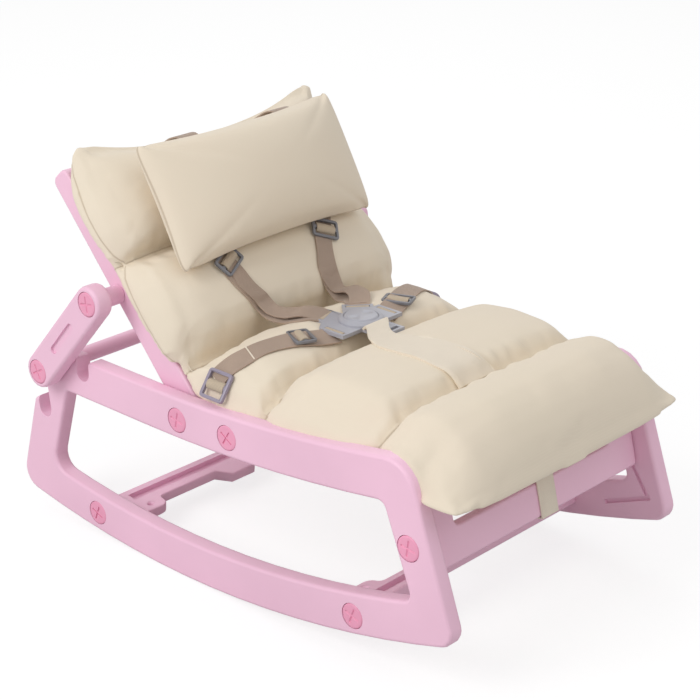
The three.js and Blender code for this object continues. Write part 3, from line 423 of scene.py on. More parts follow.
@dataclass(frozen=True)
class CushionCloth:
    """Soft plain-woven cloth with a fine thread, a light nap, gentle mottling and stitched seams, darkened with
    painted shade in the weave's gaps and along the seam grooves.
    """

    name: str
    colour: tuple[int, int, int]
    warm: tuple[int, int, int]
    thread: float = 0.0008
    thread_depth: float = 0.0001
    seam_at: float = 0.0
    stitch: float = 0.0032
    slub: float = 260.0
    cloud: float = 9.0
    rumple: float = 30.0
    # The colour that the weave's gaps and the seam grooves are multiplied towards: painted shade.
    gap_tint: tuple[float, float, float, float] = (0.62, 0.55, 0.47, 1.0)

    def material(self) -> bpy.types.Material:
        """Builds the finish on the cover's two maps, which are in metres.

        Returns:
            The material.
        """
        sheet = NodeSheet(self.name)
        place = sheet.add("ShaderNodeTexCoord").outputs["Object"]
        cloth_map = sheet.add("ShaderNodeUVMap", uv_map="cloth").outputs["UV"]
        cover = sheet.add("ShaderNodeSeparateXYZ", {"Vector": cloth_map})
        slub = sheet.maths("MULTIPLY", sheet.noise(place, self.slub, 3.0), 3.0)
        threads = [sheet.waves(cover.outputs[axis], self.thread, slub) for axis in "XY"]
        weave = sheet.maths("MULTIPLY", sheet.maths("ADD", *threads), 0.5)
        cloud = sheet.noise(place, self.cloud, 4.0)
        tint = sheet.shade(sheet.between(cloud, -0.5, 1.5), linear(self.colour), linear(self.warm))
        groove, stitches = self.seam(sheet)
        # Painted shade: the colour darkens in the weave's gaps and along each seam's groove.
        hollow = sheet.maths("MAXIMUM", sheet.between(weave, 0.08, 0.0), sheet.maths("MULTIPLY", groove, 0.7))
        soft = sheet.bump(sheet.noise(place, self.rumple, 3.0, Distortion=0.5), 0.001, 0.3)
        woven = sheet.bump(weave, self.thread_depth, 0.22, Normal=soft)
        sheet.set(
            Base_Color=sheet.shade(hollow, tint, self.gap_tint, "MULTIPLY"),
            Roughness=0.88,
            Specular_IOR_Level=0.22,
            Sheen_Weight=0.2,
            Sheen_Roughness=0.5,
            Normal=sheet.bump(sheet.maths("SUBTRACT", stitches, groove), 0.0006, 0.8, Normal=woven),
        )
        return sheet.material

    def seam(self, sheet: NodeSheet) -> tuple[bpy.types.NodeSocket, bpy.types.NodeSocket]:
        """Draws the sewn line where the seam map crosses its level.

        Args:
            sheet: The node tree to add to.

        Returns:
            The groove's depth and the stitches' height, from 0 to 1.
        """
        seam_map = sheet.add("ShaderNodeUVMap", uv_map="seam").outputs["UV"]
        parts = sheet.add("ShaderNodeSeparateXYZ", {"Vector": seam_map})
        away = sheet.maths("ABSOLUTE", sheet.maths("SUBTRACT", parts.outputs["Y"], self.seam_at))
        groove = sheet.add("ShaderNodeMapRange", {"Value": away, "From Max": 0.0013, "To Min": 1.0, "To Max": 0.0})
        run = sheet.maths("SINE", sheet.maths("MULTIPLY", parts.outputs["X"], 2 * math.pi / self.stitch))
        thread = sheet.add("ShaderNodeMapRange", {"Value": run, "From Min": -0.4, "From Max": 0.1})
        narrow = sheet.add("ShaderNodeMapRange", {"Value": away, "From Max": 0.0006, "To Min": 1.0, "To Max": 0.0})
        return groove.outputs["Result"], sheet.maths("MULTIPLY", thread.outputs["Result"], narrow.outputs["Result"])


@dataclass(frozen=True)
class WovenWebbing:
    """Narrow woven webbing with cross ribs and fine cords along it."""

    name: str
    colour: tuple[int, int, int]
    rib: float = 0.0011
    cord: float = 0.0009
    gap_shade: float = 0.55
    fray: float = 400.0
    cloud: float = 30.0

    def material(self) -> bpy.types.Material:
        """Builds the finish on the strap's own map, which is in metres along and across it.

        Returns:
            The material.
        """
        sheet = NodeSheet(self.name)
        strap_map = sheet.add("ShaderNodeUVMap", uv_map="strap").outputs["UV"]
        parts = sheet.add("ShaderNodeSeparateXYZ", {"Vector": strap_map})
        fray = sheet.maths("MULTIPLY", sheet.noise(strap_map, self.fray, 3.0), 2.0)
        rib = sheet.waves(parts.outputs["X"], self.rib, fray)
        cord = sheet.waves(parts.outputs["Y"], self.cord, fray)
        weave = sheet.maths("ADD", sheet.maths("MULTIPLY", rib, 0.65), sheet.maths("MULTIPLY", cord, 0.35))
        base = linear(self.colour)
        deep = tuple(c * self.gap_shade for c in base[:3]) + (1.0,)
        light = tuple(min(1.0, c * 1.12) for c in base[:3]) + (1.0,)
        cloud = sheet.noise(strap_map, self.cloud, 3.0)
        tone = sheet.maths("ADD", sheet.maths("MULTIPLY", weave, 0.7), sheet.maths("MULTIPLY", cloud, 0.4))
        sheet.set(
            Base_Color=sheet.shade(tone, deep, light),
            Roughness=0.72,
            Specular_IOR_Level=0.35,
            Sheen_Weight=0.2,
            Sheen_Roughness=0.4,
            Normal=sheet.bump(weave, 0.0002, 0.7),
        )
        return sheet.material


class Finishes:
    """All finishes of the chair, each built once."""

    def __init__(self) -> None:
        """Builds every material."""
        self.frame = MouldedPlastic("pink_moulding", (243, 198, 220)).material()
        self.caps = MouldedPlastic("pink_caps", (240, 163, 192), 0.38, 1200.0).material()
        self.hardware = MouldedPlastic("grey_hardware", (172, 172, 181), 0.34, 1500.0, 0.00002).material()
        self.dark_hardware = MouldedPlastic("slate_hardware", (122, 122, 128), 0.36, 1500.0).material()
        self.cloth = CushionCloth("cream_cloth", (233, 221, 201), (235, 222, 203)).material()
        self.pillow_cloth = CushionCloth(
            "cream_cloth_pillow", (233, 221, 201), (234, 220, 200), seam_at=0.0006,
        ).material()
        self.webbing = WovenWebbing("taupe_webbing", (190, 167, 150)).material()
        self.pale_webbing = WovenWebbing("pale_webbing", (214, 196, 172)).material()
        self.clip_hardware = MouldedPlastic("plum_hardware", (150, 141, 158), 0.34, 1500.0).material()
        self.tape = WovenWebbing("cream_tape", (238, 226, 208), gap_shade=0.84).material()


@dataclass(frozen=True)
class Lamp:
    """A soft square lamp: its name, place, width in metres and strength in watts."""

    name: str
    place: tuple[float, float, float]
    size: float
    power: float


@dataclass(frozen=True)
class Studio:
    """The camera at the photograph's angle, soft lamps and a pale floor."""

    eye: tuple[float, float, float] = (-1.3306, -1.2536, 0.9737)
    right: tuple[float, float, float] = (0.6815, -0.7319, 0.0)
    ahead: tuple[float, float, float] = (0.6762, 0.6294, -0.3831)
    lens: float = 97.71
    lamps: tuple[Lamp, ...] = (
        Lamp("key", (-2.7, 0.5, 2.2), 1.8, 52.0),
        Lamp("fill", (0.4, -2.2, 2.6), 2.2, 16.0),
        Lamp("rim", (1.6, 1.6, 2.2), 1.6, 9.0),
    )
    aim: tuple[float, float, float] = (0.0, 0.0, 0.2)
    sky: float = 0.54
    floor_size: float = 9.0
    floor_lit: float = 0.68
    floor_seen: float = 0.3
    floor_glow: float = 0.76

    def build(self) -> None:
        """Sets up the camera, the lamps, the world and the floor."""
        self.camera()
        for lamp in self.lamps:
            self.hang(lamp)
        self.world()
        self.floor()
        bpy.context.scene.view_settings.view_transform = "Standard"

    def camera(self) -> None:
        """Places the camera."""
        right, ahead = Vector(self.right), Vector(self.ahead)
        up = right.cross(ahead)
        data = bpy.data.cameras.new("camera")
        data.lens = self.lens
        data.sensor_width = 36.0
        data.sensor_fit = "HORIZONTAL"
        data.clip_start = 0.05
        camera = bpy.data.objects.new("camera", data)
        bpy.context.scene.collection.objects.link(camera)
        turn = Matrix((right.normalized(), up.normalized(), (-ahead).normalized())).transposed()
        camera.matrix_world = Matrix.Translation(Vector(self.eye)) @ turn.to_4x4()
        bpy.context.scene.camera = camera

    def hang(self, lamp: Lamp) -> None:
        """Adds a lamp that points at the chair.

        Args:
            lamp: Its values.
        """
        data = bpy.data.lights.new(lamp.name, "AREA")
        data.size = lamp.size
        data.energy = lamp.power
        obj = bpy.data.objects.new(lamp.name, data)
        obj.location = lamp.place
        obj.rotation_euler = (Vector(self.aim) - Vector(lamp.place)).to_track_quat("-Z", "Y").to_euler()
        bpy.context.scene.collection.objects.link(obj)

    def world(self) -> None:
        """Makes an even pale sky that the camera sees as white."""
        world = bpy.data.worlds.new("studio")
        bpy.context.scene.world = world
        world.use_nodes = True
        tree = world.node_tree
        backdrop = tree.nodes["Background"]
        ray = tree.nodes.new("ShaderNodeLightPath")
        seen = tree.nodes.new("ShaderNodeMath")
        seen.operation = "MAXIMUM"
        tree.links.new(ray.outputs["Is Camera Ray"], seen.inputs[0])
        tree.links.new(ray.outputs["Is Glossy Ray"], seen.inputs[1])
        level = tree.nodes.new("ShaderNodeMapRange")
        level.inputs["To Min"].default_value = self.sky
        level.inputs["To Max"].default_value = 1.0
        tree.links.new(seen.outputs[0], level.inputs["Value"])
        backdrop.inputs["Color"].default_value = (1.0, 1.0, 1.0, 1.0)
        tree.links.new(level.outputs["Result"], backdrop.inputs["Strength"])

    def floor(self) -> None:
        """Lays a white floor that keeps the chair's shadow."""
        Bench.clear()
        bpy.ops.mesh.primitive_plane_add(size=self.floor_size, location=(0.0, 0.0, 0.0))
        floor = Bench.settle(bpy.context.object, "floor")
        sheet = NodeSheet("floor")
        ray = sheet.add("ShaderNodeLightPath").outputs["Is Camera Ray"]
        lit, seen = (self.floor_lit,) * 3 + (1.0,), (self.floor_seen,) * 3 + (1.0,)
        sheet.set(
            Base_Color=sheet.shade(ray, lit, seen),
            Roughness=0.9,
            Specular_IOR_Level=0.0,
            Emission_Color=(1.0, 1.0, 1.0, 1.0),
            Emission_Strength=sheet.maths("MULTIPLY", ray, self.floor_glow),
        )
        floor.data.materials.append(sheet.material)


@dataclass
class Mouldings:
    """The moulded frame, its crossbars, the back's posts and rails, the prop and the cap screws."""

    finishes: Finishes
    edge_round: float = 0.0007
    bodies: dict[str, Body] = field(default_factory=lambda: {
        name: Body(body) for body, names in frame["record"]["behaviour"]["bodies"].items() for name in names
    })

    def build(self) -> None:
        """Dresses every rigid moulding and screw."""
        for side in Side:
            for name in ("side_frame", "back_post", "prop_link", "spacer"):
                self.dress(f"{name}_{side.word}", self.finishes.frame)
            for seat in ("panel", "front", "pivot", "seat", "rear", "link", "bar"):
                self.dress(f"{seat}_screw_{side.word}", self.finishes.caps)
        for name in ("rear_crossbar", "front_crossbar", "seat_crossbar", "front_panel", "prop_bar"):
            self.dress(name, self.finishes.frame)
        for name in ("lower", "middle", "upper"):
            self.dress(f"back_rail_{name}", self.finishes.frame)

    def dress(self, node: str, material: bpy.types.Material) -> None:
        """Copies a node, softens its edges and gives it its finish.

        Args:
            node: The model node.
            material: Its finish.
        """
        obj = Bench.copy_of(node, f"{node}_moulding")
        Bench.take(obj)
        bpy.ops.object.mode_set(mode="EDIT")
        bpy.ops.mesh.select_all(action="SELECT")
        bpy.ops.mesh.dissolve_limited(angle_limit=math.radians(0.4))
        bpy.ops.object.mode_set(mode="OBJECT")
        Bench.round_edges(obj, self.edge_round, 55.0)
        Bench.smooth(obj, 50.0)
        Bench.finish_modifier(obj, "WEIGHTED_NORMAL", keep_sharp=True, weight=50)
        slot = "screw_caps" if "screw" in node else "frame_plastic"
        Bench.place(obj, self.bodies[node], slot, material, node)


class Shell:
    """Reads and moves the points of a cloth shell as rows of numbers."""

    STEPS = 20
    HELD_BELOW = 0.0012
    CLOTH = {
        "quality": 6, "mass": 0.25, "tension_stiffness": 18, "compression_stiffness": 12, "shear_stiffness": 6,
        "use_pressure": True, "vertex_group_mass": "held",
    }

    @staticmethod
    def read(source: object, key: str) -> np.ndarray:
        """Reads one vector of each item in a mesh's list.

        Args:
            source: The list.
            key: The vector's name.

        Returns:
            The vectors as rows.
        """
        flat = np.empty(len(source) * 3)
        source.foreach_get(key, flat)
        return flat.reshape(-1, 3)

    @staticmethod
    def points(mesh: bpy.types.Mesh) -> np.ndarray:
        """All vertices of a mesh as rows."""
        return Shell.read(mesh.vertices, "co")

    @staticmethod
    def normals(mesh: bpy.types.Mesh) -> np.ndarray:
        """All vertex normals of a mesh as rows."""
        return Shell.read(mesh.vertex_normals, "vector")

    @staticmethod
    def soften(mesh: bpy.types.Mesh) -> None:
        """Shades every face smooth."""
        mesh.polygons.foreach_set("use_smooth", [True] * len(mesh.polygons))
        mesh.update()

    @staticmethod
    def write(mesh: bpy.types.Mesh, rows: np.ndarray) -> None:
        """Puts changed rows back into a mesh."""
        mesh.vertices.foreach_set("co", rows.ravel())
        mesh.update()

    @staticmethod
    def ease(share: np.ndarray) -> np.ndarray:
        """A soft step from 0 to 1."""
        held = np.clip(share, 0.0, 1.0)
        return held * held * (3 - 2 * held)

    @staticmethod
    def turned(rows: np.ndarray, angle: float) -> np.ndarray:
        """Turns rows about the X axis."""
        return rows @ np.array(Matrix.Rotation(angle, 3, "X")).T

    @staticmethod
    def ripple(rows: np.ndarray) -> np.ndarray:
        """Smooth noise between about -1 and 1 at each row."""
        return np.array([noise.noise(Vector(row)) for row in rows])

    @staticmethod
    def inflate(obj: bpy.types.Object, cap: np.ndarray, pressure: float, bending: float, slack: float) -> None:
        """Lets air pressure fill a shell as cloth, and caps how far each point may move.

        Args:
            obj: The shell.
            cap: The most that each point may move, in metres.
            pressure: The air pressure.
            bending: The cloth's stiffness against folding.
            slack: How much longer the cloth is than the shell, as a share.
        """
        mesh = obj.data
        start = Shell.points(mesh)
        group = obj.vertex_groups.new(name="held")
        group.add([int(index) for index in np.nonzero(cap < Shell.HELD_BELOW)[0]], 1.0, "REPLACE")
        Bench.take(obj)
        cloth = obj.modifiers.new("cloth", "CLOTH")
        for key, value in Shell.CLOTH.items():
            setattr(cloth.settings, key, value)
        cloth.settings.bending_stiffness = bending
        cloth.settings.shrink_min = -slack
        cloth.settings.uniform_pressure_force = pressure
        cloth.settings.effector_weights.gravity = 0
        cloth.collision_settings.use_collision = False
        cloth.point_cache.frame_start = 1
        cloth.point_cache.frame_end = Shell.STEPS
        for step in range(1, Shell.STEPS + 1):
            bpy.context.scene.frame_set(step)
        evaluated = obj.evaluated_get(bpy.context.evaluated_depsgraph_get())
        moved = Shell.points(evaluated.data) - start
        bpy.ops.object.modifier_remove(modifier="cloth")
        bpy.context.scene.frame_set(1)
        length = np.linalg.norm(moved, axis=1)
        LOG.info("%s: the cloth moved %.1f mm at most", obj.name, length.max() / MM)
        held = cap * np.tanh(length / np.maximum(cap, 1e-9)) / np.maximum(length, 1e-9)
        Shell.write(mesh, start + moved * held[:, None])
        obj.vertex_groups.clear()


@dataclass
class Mattress:
    """The padded mattress: three seat cushions and two back cushions in one sewn cover, folded at the hips."""

    finishes: Finishes
    voxel: float = 0.005
    shrink: float = 0.0055
    cap: float = 0.012
    fold: tuple[float, float] = (-0.014, 0.225)
    fold_facing: tuple[float, float] = (0.911, 0.412)
    seat_channels: tuple[float, ...] = (-0.2715, -0.1235)
    back_channel: float = 0.166
    channel_half: float = 0.017
    channel_depth: float = 0.0075
    channel_width: float = 0.0042
    gather: float = 0.0028
    notch: float = 0.0026
    bridge: tuple[tuple[float, float], ...] = (
        (-34, 206), (-34, 230), (-20, 228), (-6, 236), (4, 229), (-8, 217), (-20, 207),
    )
    bridge_half: float = 158.0
    ear_from: float = 0.220
    ear_run: float = 0.070
    edge_seam_seat: float = 0.186
    edge_seam_back: float = 0.020
    seam_reach: float = 0.0045
    thin_from: float = 0.125
    thin_run: float = 0.055
    thin_by: float = 0.013
    buckle_at: tuple[float, float] = (0.004, -0.101)
    buckle_rest: float = 0.2505
    buckle_reach: float = 0.036
    hollow_slope: float = 0.3
    hollow_above: float = 0.23
    side_from: float = 0.2
    side_run: float = 0.6
    foot_from: float = -0.262
    gather_off: float = 0.010
    gather_width: float = 0.009
    gather_grain: tuple[float, float, float] = (70, 20, 7.0)
    edge_dent: float = 0.0012
    edge_width: float = 0.0028
    ear_half: float = 0.155
    ear_reach: float = 0.97
    ear_out: float = 0.006
    ear_far_out: float = 0.022
    ear_sag: float = 0.009
    ear_rise: float = 0.027
    ear_curve: float = 2.6
    ear_forward: float = 0.008
    seat_run: float = 0.02
    back_run: float = 0.049

    def build(self) -> bpy.types.Object:
        """Makes the mattress.

        Returns:
            The finished piece.
        """
        obj = self.joined()
        Bench.finish_modifier(obj, "REMESH", mode="VOXEL", voxel_size=self.voxel, use_smooth_shade=True)
        Bench.finish_modifier(obj, "SMOOTH", factor=0.5, iterations=3)
        self.fill(obj)
        Bench.finish_modifier(obj, "SUBSURF", levels=1, render_levels=1)
        for change in (self.sew, self.pull_ears, self.thin_edges, self.press, self.map_cloth, Shell.soften):
            change(obj.data)
        obj.data.materials.clear()
        obj.data.materials.append(self.finishes.cloth)
        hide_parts("seat_pad", "back_pad")
        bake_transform(obj)
        LOG.info("%s bends at the fold, %d faces", obj.name, len(obj.data.polygons))
        return obj

    def joined(self) -> bpy.types.Object:
        """Joins copies of the two cushions with a bridge of cloth behind the fold.

        Returns:
            One object of three closed shells that overlap.
        """
        obj = Bench.copy_of("seat_pad", "mattress")
        back = Bench.copy_of("back_pad", "mattress_back")
        bm = bmesh.new()
        ends = [
            [bm.verts.new(seat_point(x, y, z)) for y, z in self.bridge] for x in (-self.bridge_half, self.bridge_half)
        ]
        bm.faces.new(ends[0])
        bm.faces.new(list(reversed(ends[1])))
        for index in range(len(self.bridge)):
            after = (index + 1) % len(self.bridge)
            bm.faces.new((ends[0][after], ends[0][index], ends[1][index], ends[1][after]))
        bmesh.ops.recalc_face_normals(bm, faces=bm.faces)
        bridge = Bench.from_bmesh(bm, "mattress_bridge")
        Bench.clear()
        for part in (bridge, back, obj):
            part.select_set(True)
            bpy.context.view_layer.objects.active = part
        bpy.ops.object.join()
        return obj

    def fill(self, obj: bpy.types.Object) -> None:
        """Takes the cover in on the sitting side, then lets air fill it.

        Args:
            obj: The mattress.
        """
        mesh = obj.data
        rows, normals = Shell.points(mesh), Shell.normals(mesh)
        upper = Shell.ease((self.facing(rows, normals) + 0.3) / 0.6)
        Shell.write(mesh, rows - normals * (self.shrink * (upper - 1.2 * self.sideways(normals)))[:, None])
        Shell.inflate(obj, self.caps(mesh), pressure=4.0, bending=0.4, slack=0.0)
        Bench.finish_modifier(obj, "SMOOTH", factor=0.5, iterations=2)

    def sideways(self, normals: np.ndarray) -> np.ndarray:
        """How far each point looks to a side of the chair, from 0 to 1."""
        return Shell.ease((np.abs(normals[:, 0]) - self.side_from) / self.side_run)

    def seat_rows(self, rows: np.ndarray) -> np.ndarray:
        """Points of the model as points of the chair's drawing, in metres."""
        return rows - np.array(FLOOR_SHIFT)

    def back_rows(self, rows: np.ndarray) -> np.ndarray:
        """Points of the model as points of the back: across, along, out of its face."""
        return Shell.turned(rows - np.array(RECLINE_PIVOT), -RECLINE)

    def past_fold(self, rows: np.ndarray) -> np.ndarray:
        """How far past the fold each point is, in metres, negative on the seat."""
        flat = self.seat_rows(rows)[:, 1:] - np.array(self.fold)
        return flat @ np.array(self.fold_facing)

    def channel_distances(self, rows: np.ndarray) -> list[np.ndarray]:
        """Measures how far each point lies from each sewn channel, and from the fold last.

        Args:
            rows: The points.

        Returns:
            One row of signed distances for each channel.
        """
        seat, back, past = self.seat_rows(rows), self.back_rows(rows), self.past_fold(rows)
        far = np.full(len(rows), 1.0)
        found = [np.where(past < 0, seat[:, 1] - line, far) for line in self.seat_channels]
        found.append(np.where(past > 0, back[:, 1] - self.back_channel, far))
        found.append(past)
        return found

    def facing(self, rows: np.ndarray, normals: np.ndarray) -> np.ndarray:
        """How far each point looks out of the sitting side, from -1 to 1."""
        share = Shell.ease(self.past_fold(rows) / 0.04 + 0.5)
        return normals[:, 2] * (1 - share) + Shell.turned(normals, -RECLINE)[:, 2] * share

    def caps(self, mesh: bpy.types.Mesh) -> np.ndarray:
        """Limits how far the air pushes each point: little on the channels and on the side that rests.

        Args:
            mesh: The mattress.

        Returns:
            The most that each point may move, in metres.
        """
        rows, normals = Shell.points(mesh), Shell.normals(mesh)
        free = np.ones(len(rows))
        for away in self.channel_distances(rows):
            free = np.minimum(free, Shell.ease(np.abs(away) / self.channel_half))
        lying = np.clip((-self.facing(rows, normals) - 0.3) / 0.5, 0.0, 1.0)
        foot = Shell.ease((self.foot_from - self.seat_rows(rows)[:, 1]) / 0.03)
        side = self.sideways(normals)
        return self.cap * (0.1 + 0.9 * free * (1 - 0.95 * lying) * (1 - 0.6 * side) * (1 - 0.5 * foot))

    def sew(self, mesh: bpy.types.Mesh) -> None:
        """Draws the channels in, gathers the cloth beside them and dents the long seams along the sides.

        Args:
            mesh: The mattress.
        """
        rows, normals = Shell.points(mesh), Shell.normals(mesh)
        upper = np.clip((self.facing(rows, normals) + 0.25) / 0.6, 0.0, 1.0)
        sideways = np.clip((np.abs(normals[:, 0]) - 0.35) / 0.4, 0.0, 1.0)
        sink = np.zeros(len(rows))
        for index, away in enumerate(self.channel_distances(rows)):
            valley = np.exp(-np.abs(away / self.channel_width) ** 1.4)
            sink += (self.channel_depth * upper + self.notch * sideways) * valley
            beside = np.exp(-(((np.abs(away) - self.gather_off) / self.gather_width) ** 2)) * upper
            close = beside > 0.02
            across, along, apart = self.gather_grain
            layer = np.full(close.sum(), index * apart)
            sample = np.stack([rows[close, 0] * across, away[close] * along, layer], axis=1)
            sink[close] += self.gather * beside[close] * Shell.ripple(sample)
        sink += self.edge_dent * sideways * np.exp(-((self.edge_level(rows) / self.edge_width) ** 2))
        Shell.write(mesh, rows - normals * sink[:, None])

    def edge_level(self, rows: np.ndarray) -> np.ndarray:
        """Measures how far each point lies above the seam that runs along the sides of the cushions.

        Args:
            rows: The points.

        Returns:
            The signed distances, in metres.
        """
        share = Shell.ease(self.past_fold(rows) / 0.03 + 0.5)
        seat = self.seat_rows(rows)[:, 2] - self.edge_seam_seat
        return seat * (1 - share) + (self.back_rows(rows)[:, 2] - self.edge_seam_back) * share

    def pull_ears(self, mesh: bpy.types.Mesh) -> None:
        """Lets the top corners of the back stand up as ears, with the edge sagging between them.

        Args:
            mesh: The mattress.
        """
        rows = Shell.points(mesh)
        back = self.back_rows(rows)
        share = Shell.ease((back[:, 1] - self.ear_from) / self.ear_run) * (self.past_fold(rows) > 0)
        reach = np.clip(np.abs(back[:, 0]) / self.ear_half, 0.0, self.ear_reach)
        far = np.clip(back[:, 0] / self.ear_half, 0.0, 1.0)
        back[:, 0] += share * (self.ear_out + self.ear_far_out * far)
        back[:, 1] += share * (-self.ear_sag + self.ear_rise * reach ** self.ear_curve)
        back[:, 2] += share * self.ear_forward * far ** 2
        Shell.write(mesh, Shell.turned(back, RECLINE) + np.array(RECLINE_PIVOT))

    def thin_edges(self, mesh: bpy.types.Mesh) -> None:
        """Lets the seat cushions thin out towards the seams along their sides.

        Args:
            mesh: The mattress.
        """
        rows = Shell.points(mesh)
        outer = Shell.ease((np.abs(rows[:, 0]) - self.thin_from) / self.thin_run)
        raised = Shell.ease((self.seat_rows(rows)[:, 2] - self.edge_seam_seat) / 0.035)
        on_seat = Shell.ease(-self.past_fold(rows) / 0.05)
        rows[:, 2] -= self.thin_by * outer * raised * on_seat
        Shell.write(mesh, rows)

    def press(self, mesh: bpy.types.Mesh) -> None:
        """Presses a hollow into the seat where the buckle lies on it.

        Args:
            mesh: The mattress.
        """
        rows = Shell.points(mesh)
        seat = self.seat_rows(rows)
        away = np.linalg.norm(seat[:, :2] - np.array(self.buckle_at), axis=1)
        limit = self.buckle_rest + np.maximum(away - self.buckle_reach, 0.0) * self.hollow_slope
        pressed = (seat[:, 2] > self.hollow_above) & (self.past_fold(rows) < 0)
        over = np.where(pressed, seat[:, 2] - limit, -1.0)
        rows[:, 2] -= np.maximum(over, 0.0)
        Shell.write(mesh, rows)

    def map_cloth(self, mesh: bpy.types.Mesh) -> None:
        """Lays a flat map of the cover over the mattress, and one that runs across its nearest seam.

        Args:
            mesh: The mattress.
        """
        rows = Shell.points(mesh)
        past = self.past_fold(rows)
        share = Shell.ease(past / 0.04 + 0.5)
        on_seat = self.seat_rows(rows)[:, 1] + self.seat_run
        along = on_seat * (1 - share) + (self.back_rows(rows)[:, 1] - self.back_run) * share
        distances = np.stack(self.channel_distances(rows))
        seam = distances[np.abs(distances).argmin(axis=0), np.arange(len(rows))]
        level = self.edge_level(rows)
        sideways = np.abs(Shell.normals(mesh)[:, 0]) > 0.4
        seam = np.where(sideways & (np.abs(level) < self.seam_reach), level, seam)
        seam = np.where(np.abs(seam) < self.seam_reach, seam, np.sign(seam) * 0.5)
        corners = np.empty(len(mesh.loops), dtype=np.int64)
        mesh.loops.foreach_get("vertex_index", corners)
        for name, first, second in (("cloth", rows[:, 0], along), ("seam", rows[:, 0], seam)):
            flat = np.stack([first, second], axis=1)[corners]
            mesh.uv_layers.new(name=name).uv.foreach_set("vector", flat.ravel())


@dataclass
class Pillow:
    """The head pillow: two panels sewn edge to edge and filled, with its corners standing out."""

    finishes: Finishes
    half_width: float = 0.144
    half_height: float = 0.0765
    half_depth: float = 0.040
    columns: int = 76
    rows: int = 40
    draw_in: float = 0.11
    draw_side: float = 0.02
    draw_curve: float = 2.4
    side_roundness: float = 0.9
    side_curve: float = 2.3
    end_roundness: float = 0.6
    end_curve: float = 2.4
    corner: float = 11.0
    tilt: float = 12.2
    roll: float = -0.6
    centre: tuple[float, float, float] = (0.0, 190.5, 84.0)
    flat_back: float = 0.72
    cap: float = 0.006

    def build(self) -> bpy.types.Object:
        """Makes the pillow.

        Returns:
            The finished piece.
        """
        obj = self.envelope()
        caps = np.full(len(obj.data.vertices), self.cap)
        Shell.inflate(obj, caps, pressure=3.0, bending=0.25, slack=0.03)
        Bench.finish_modifier(obj, "SMOOTH", factor=0.5, iterations=2)
        Bench.finish_modifier(obj, "SUBSURF", levels=1, render_levels=1)
        Shell.soften(obj.data)
        Bench.place(obj, Body.BACKREST, "cushion_fabric", self.finishes.pillow_cloth, "head_pillow")
        return obj

    def envelope(self) -> bpy.types.Object:
        """Sews two bulged panels together at their edges.

        Returns:
            The closed shell in its place on the back.
        """
        bm = bmesh.new()
        layer = bm.loops.layers.uv.new("cloth")
        seam = bm.loops.layers.uv.new("seam")
        flat: dict[bmesh.types.BMVert, tuple[float, float]] = {}
        grids = []
        for face in (1.0, -self.flat_back):
            grid = []
            for i in range(self.columns + 1):
                line = []
                for j in range(self.rows + 1):
                    edge = i in (0, self.columns) or j in (0, self.rows)
                    if edge and grids:
                        line.append(grids[0][i][j])
                        continue
                    u, v = 2 * i / self.columns - 1, 2 * j / self.rows - 1
                    vert = bm.verts.new(self.place(u, v, face))
                    flat[vert] = (u * self.half_width, v * self.half_height)
                    line.append(vert)
                grid.append(line)
            grids.append(grid)
        for index, grid in enumerate(grids):
            for i in range(self.columns):
                for j in range(self.rows):
                    ring = [grid[i][j], grid[i + 1][j], grid[i + 1][j + 1], grid[i][j + 1]]
                    made = bm.faces.new(ring if index == 0 else ring[::-1])
                    for loop in made.loops:
                        across, along = flat[loop.vert]
                        loop[layer].uv = (across, along)
                        inside = min(self.half_width - abs(across), self.half_height - abs(along))
                        loop[seam].uv = (across + along, inside)
        return Bench.from_bmesh(bm, "pillow")

    def place(self, u: float, v: float, face: float) -> Vector:
        """Where a point of a panel lies.

        Args:
            u: Place across the pillow, from -1 to 1.
            v: Place up the pillow, from -1 to 1.
            face: Which panel bulges which way, and how much of the full depth it has.

        Returns:
            The point in the model's frame.
        """
        most = max(abs(u), abs(v))
        blunt = (abs(u) ** self.corner + abs(v) ** self.corner) ** (1 / self.corner)
        round_off = most / blunt if most > 1e-6 else 1.0
        across = self.half_width * u * round_off * (1 - self.draw_side * (1 - v * v))
        along = self.half_height * v * round_off * (1 - self.draw_in * (1 - abs(u) ** self.draw_curve))
        sides = (1 - min(abs(u), 1.0) ** self.side_curve) ** self.side_roundness
        ends = (1 - min(abs(v), 1.0) ** self.end_curve) ** self.end_roundness
        depth = self.half_depth * face * (sides * ends)
        roll = Matrix.Rotation(math.radians(-self.roll), 3, "Z")
        tilt = Matrix.Rotation(math.radians(self.tilt), 3, "X")
        local = roll @ tilt @ Vector((across, along, depth)) / MM
        return back_point(*(local + Vector(self.centre)))


# Each station of a route holds two opposite edge points of the strap, in millimetres of the chair's own drawing.
Station = tuple[tuple[float, float, float], tuple[float, float, float]]
NEAR_SHOULDER: list[Station] = [
    ((-80, 44, 336), (-62, 44, 336)), ((-82, 31, 324), (-64, 31, 325)), ((-86, 18, 315), (-65, 19, 316)),
    ((-80, 4, 304), (-62, 3, 303)), ((-78, -7, 290), (-58, -8, 290)), ((-65, -16, 271), (-45, -17, 271)),
    ((-60, -31, 261), (-42, -31, 264)), ((-50, -42, 257), (-29, -42, 263)), ((-39, -54, 259), (-19, -51, 264)),
    ((-26, -66, 255), (-5, -58, 259)), ((-21, -72, 252), (2, -63, 252)),
]
NEAR_SHOULDER_TAIL: list[Station] = [
    ((-84, 24, 318), (-68, 24, 319)), ((-87, 8, 306), (-71, 8, 307)), ((-82, -5, 291), (-65, -5, 291)),
    ((-66, -17, 265), (-48, -17, 266)), ((-62, -33, 256), (-43, -33, 259)), ((-52, -44, 251), (-31, -44, 255)),
    ((-43, -56, 249.5), (-22, -54, 254)), ((-31, -66, 250), (-10, -60, 252)), ((-24, -71, 250), (-1, -62, 250)),
]
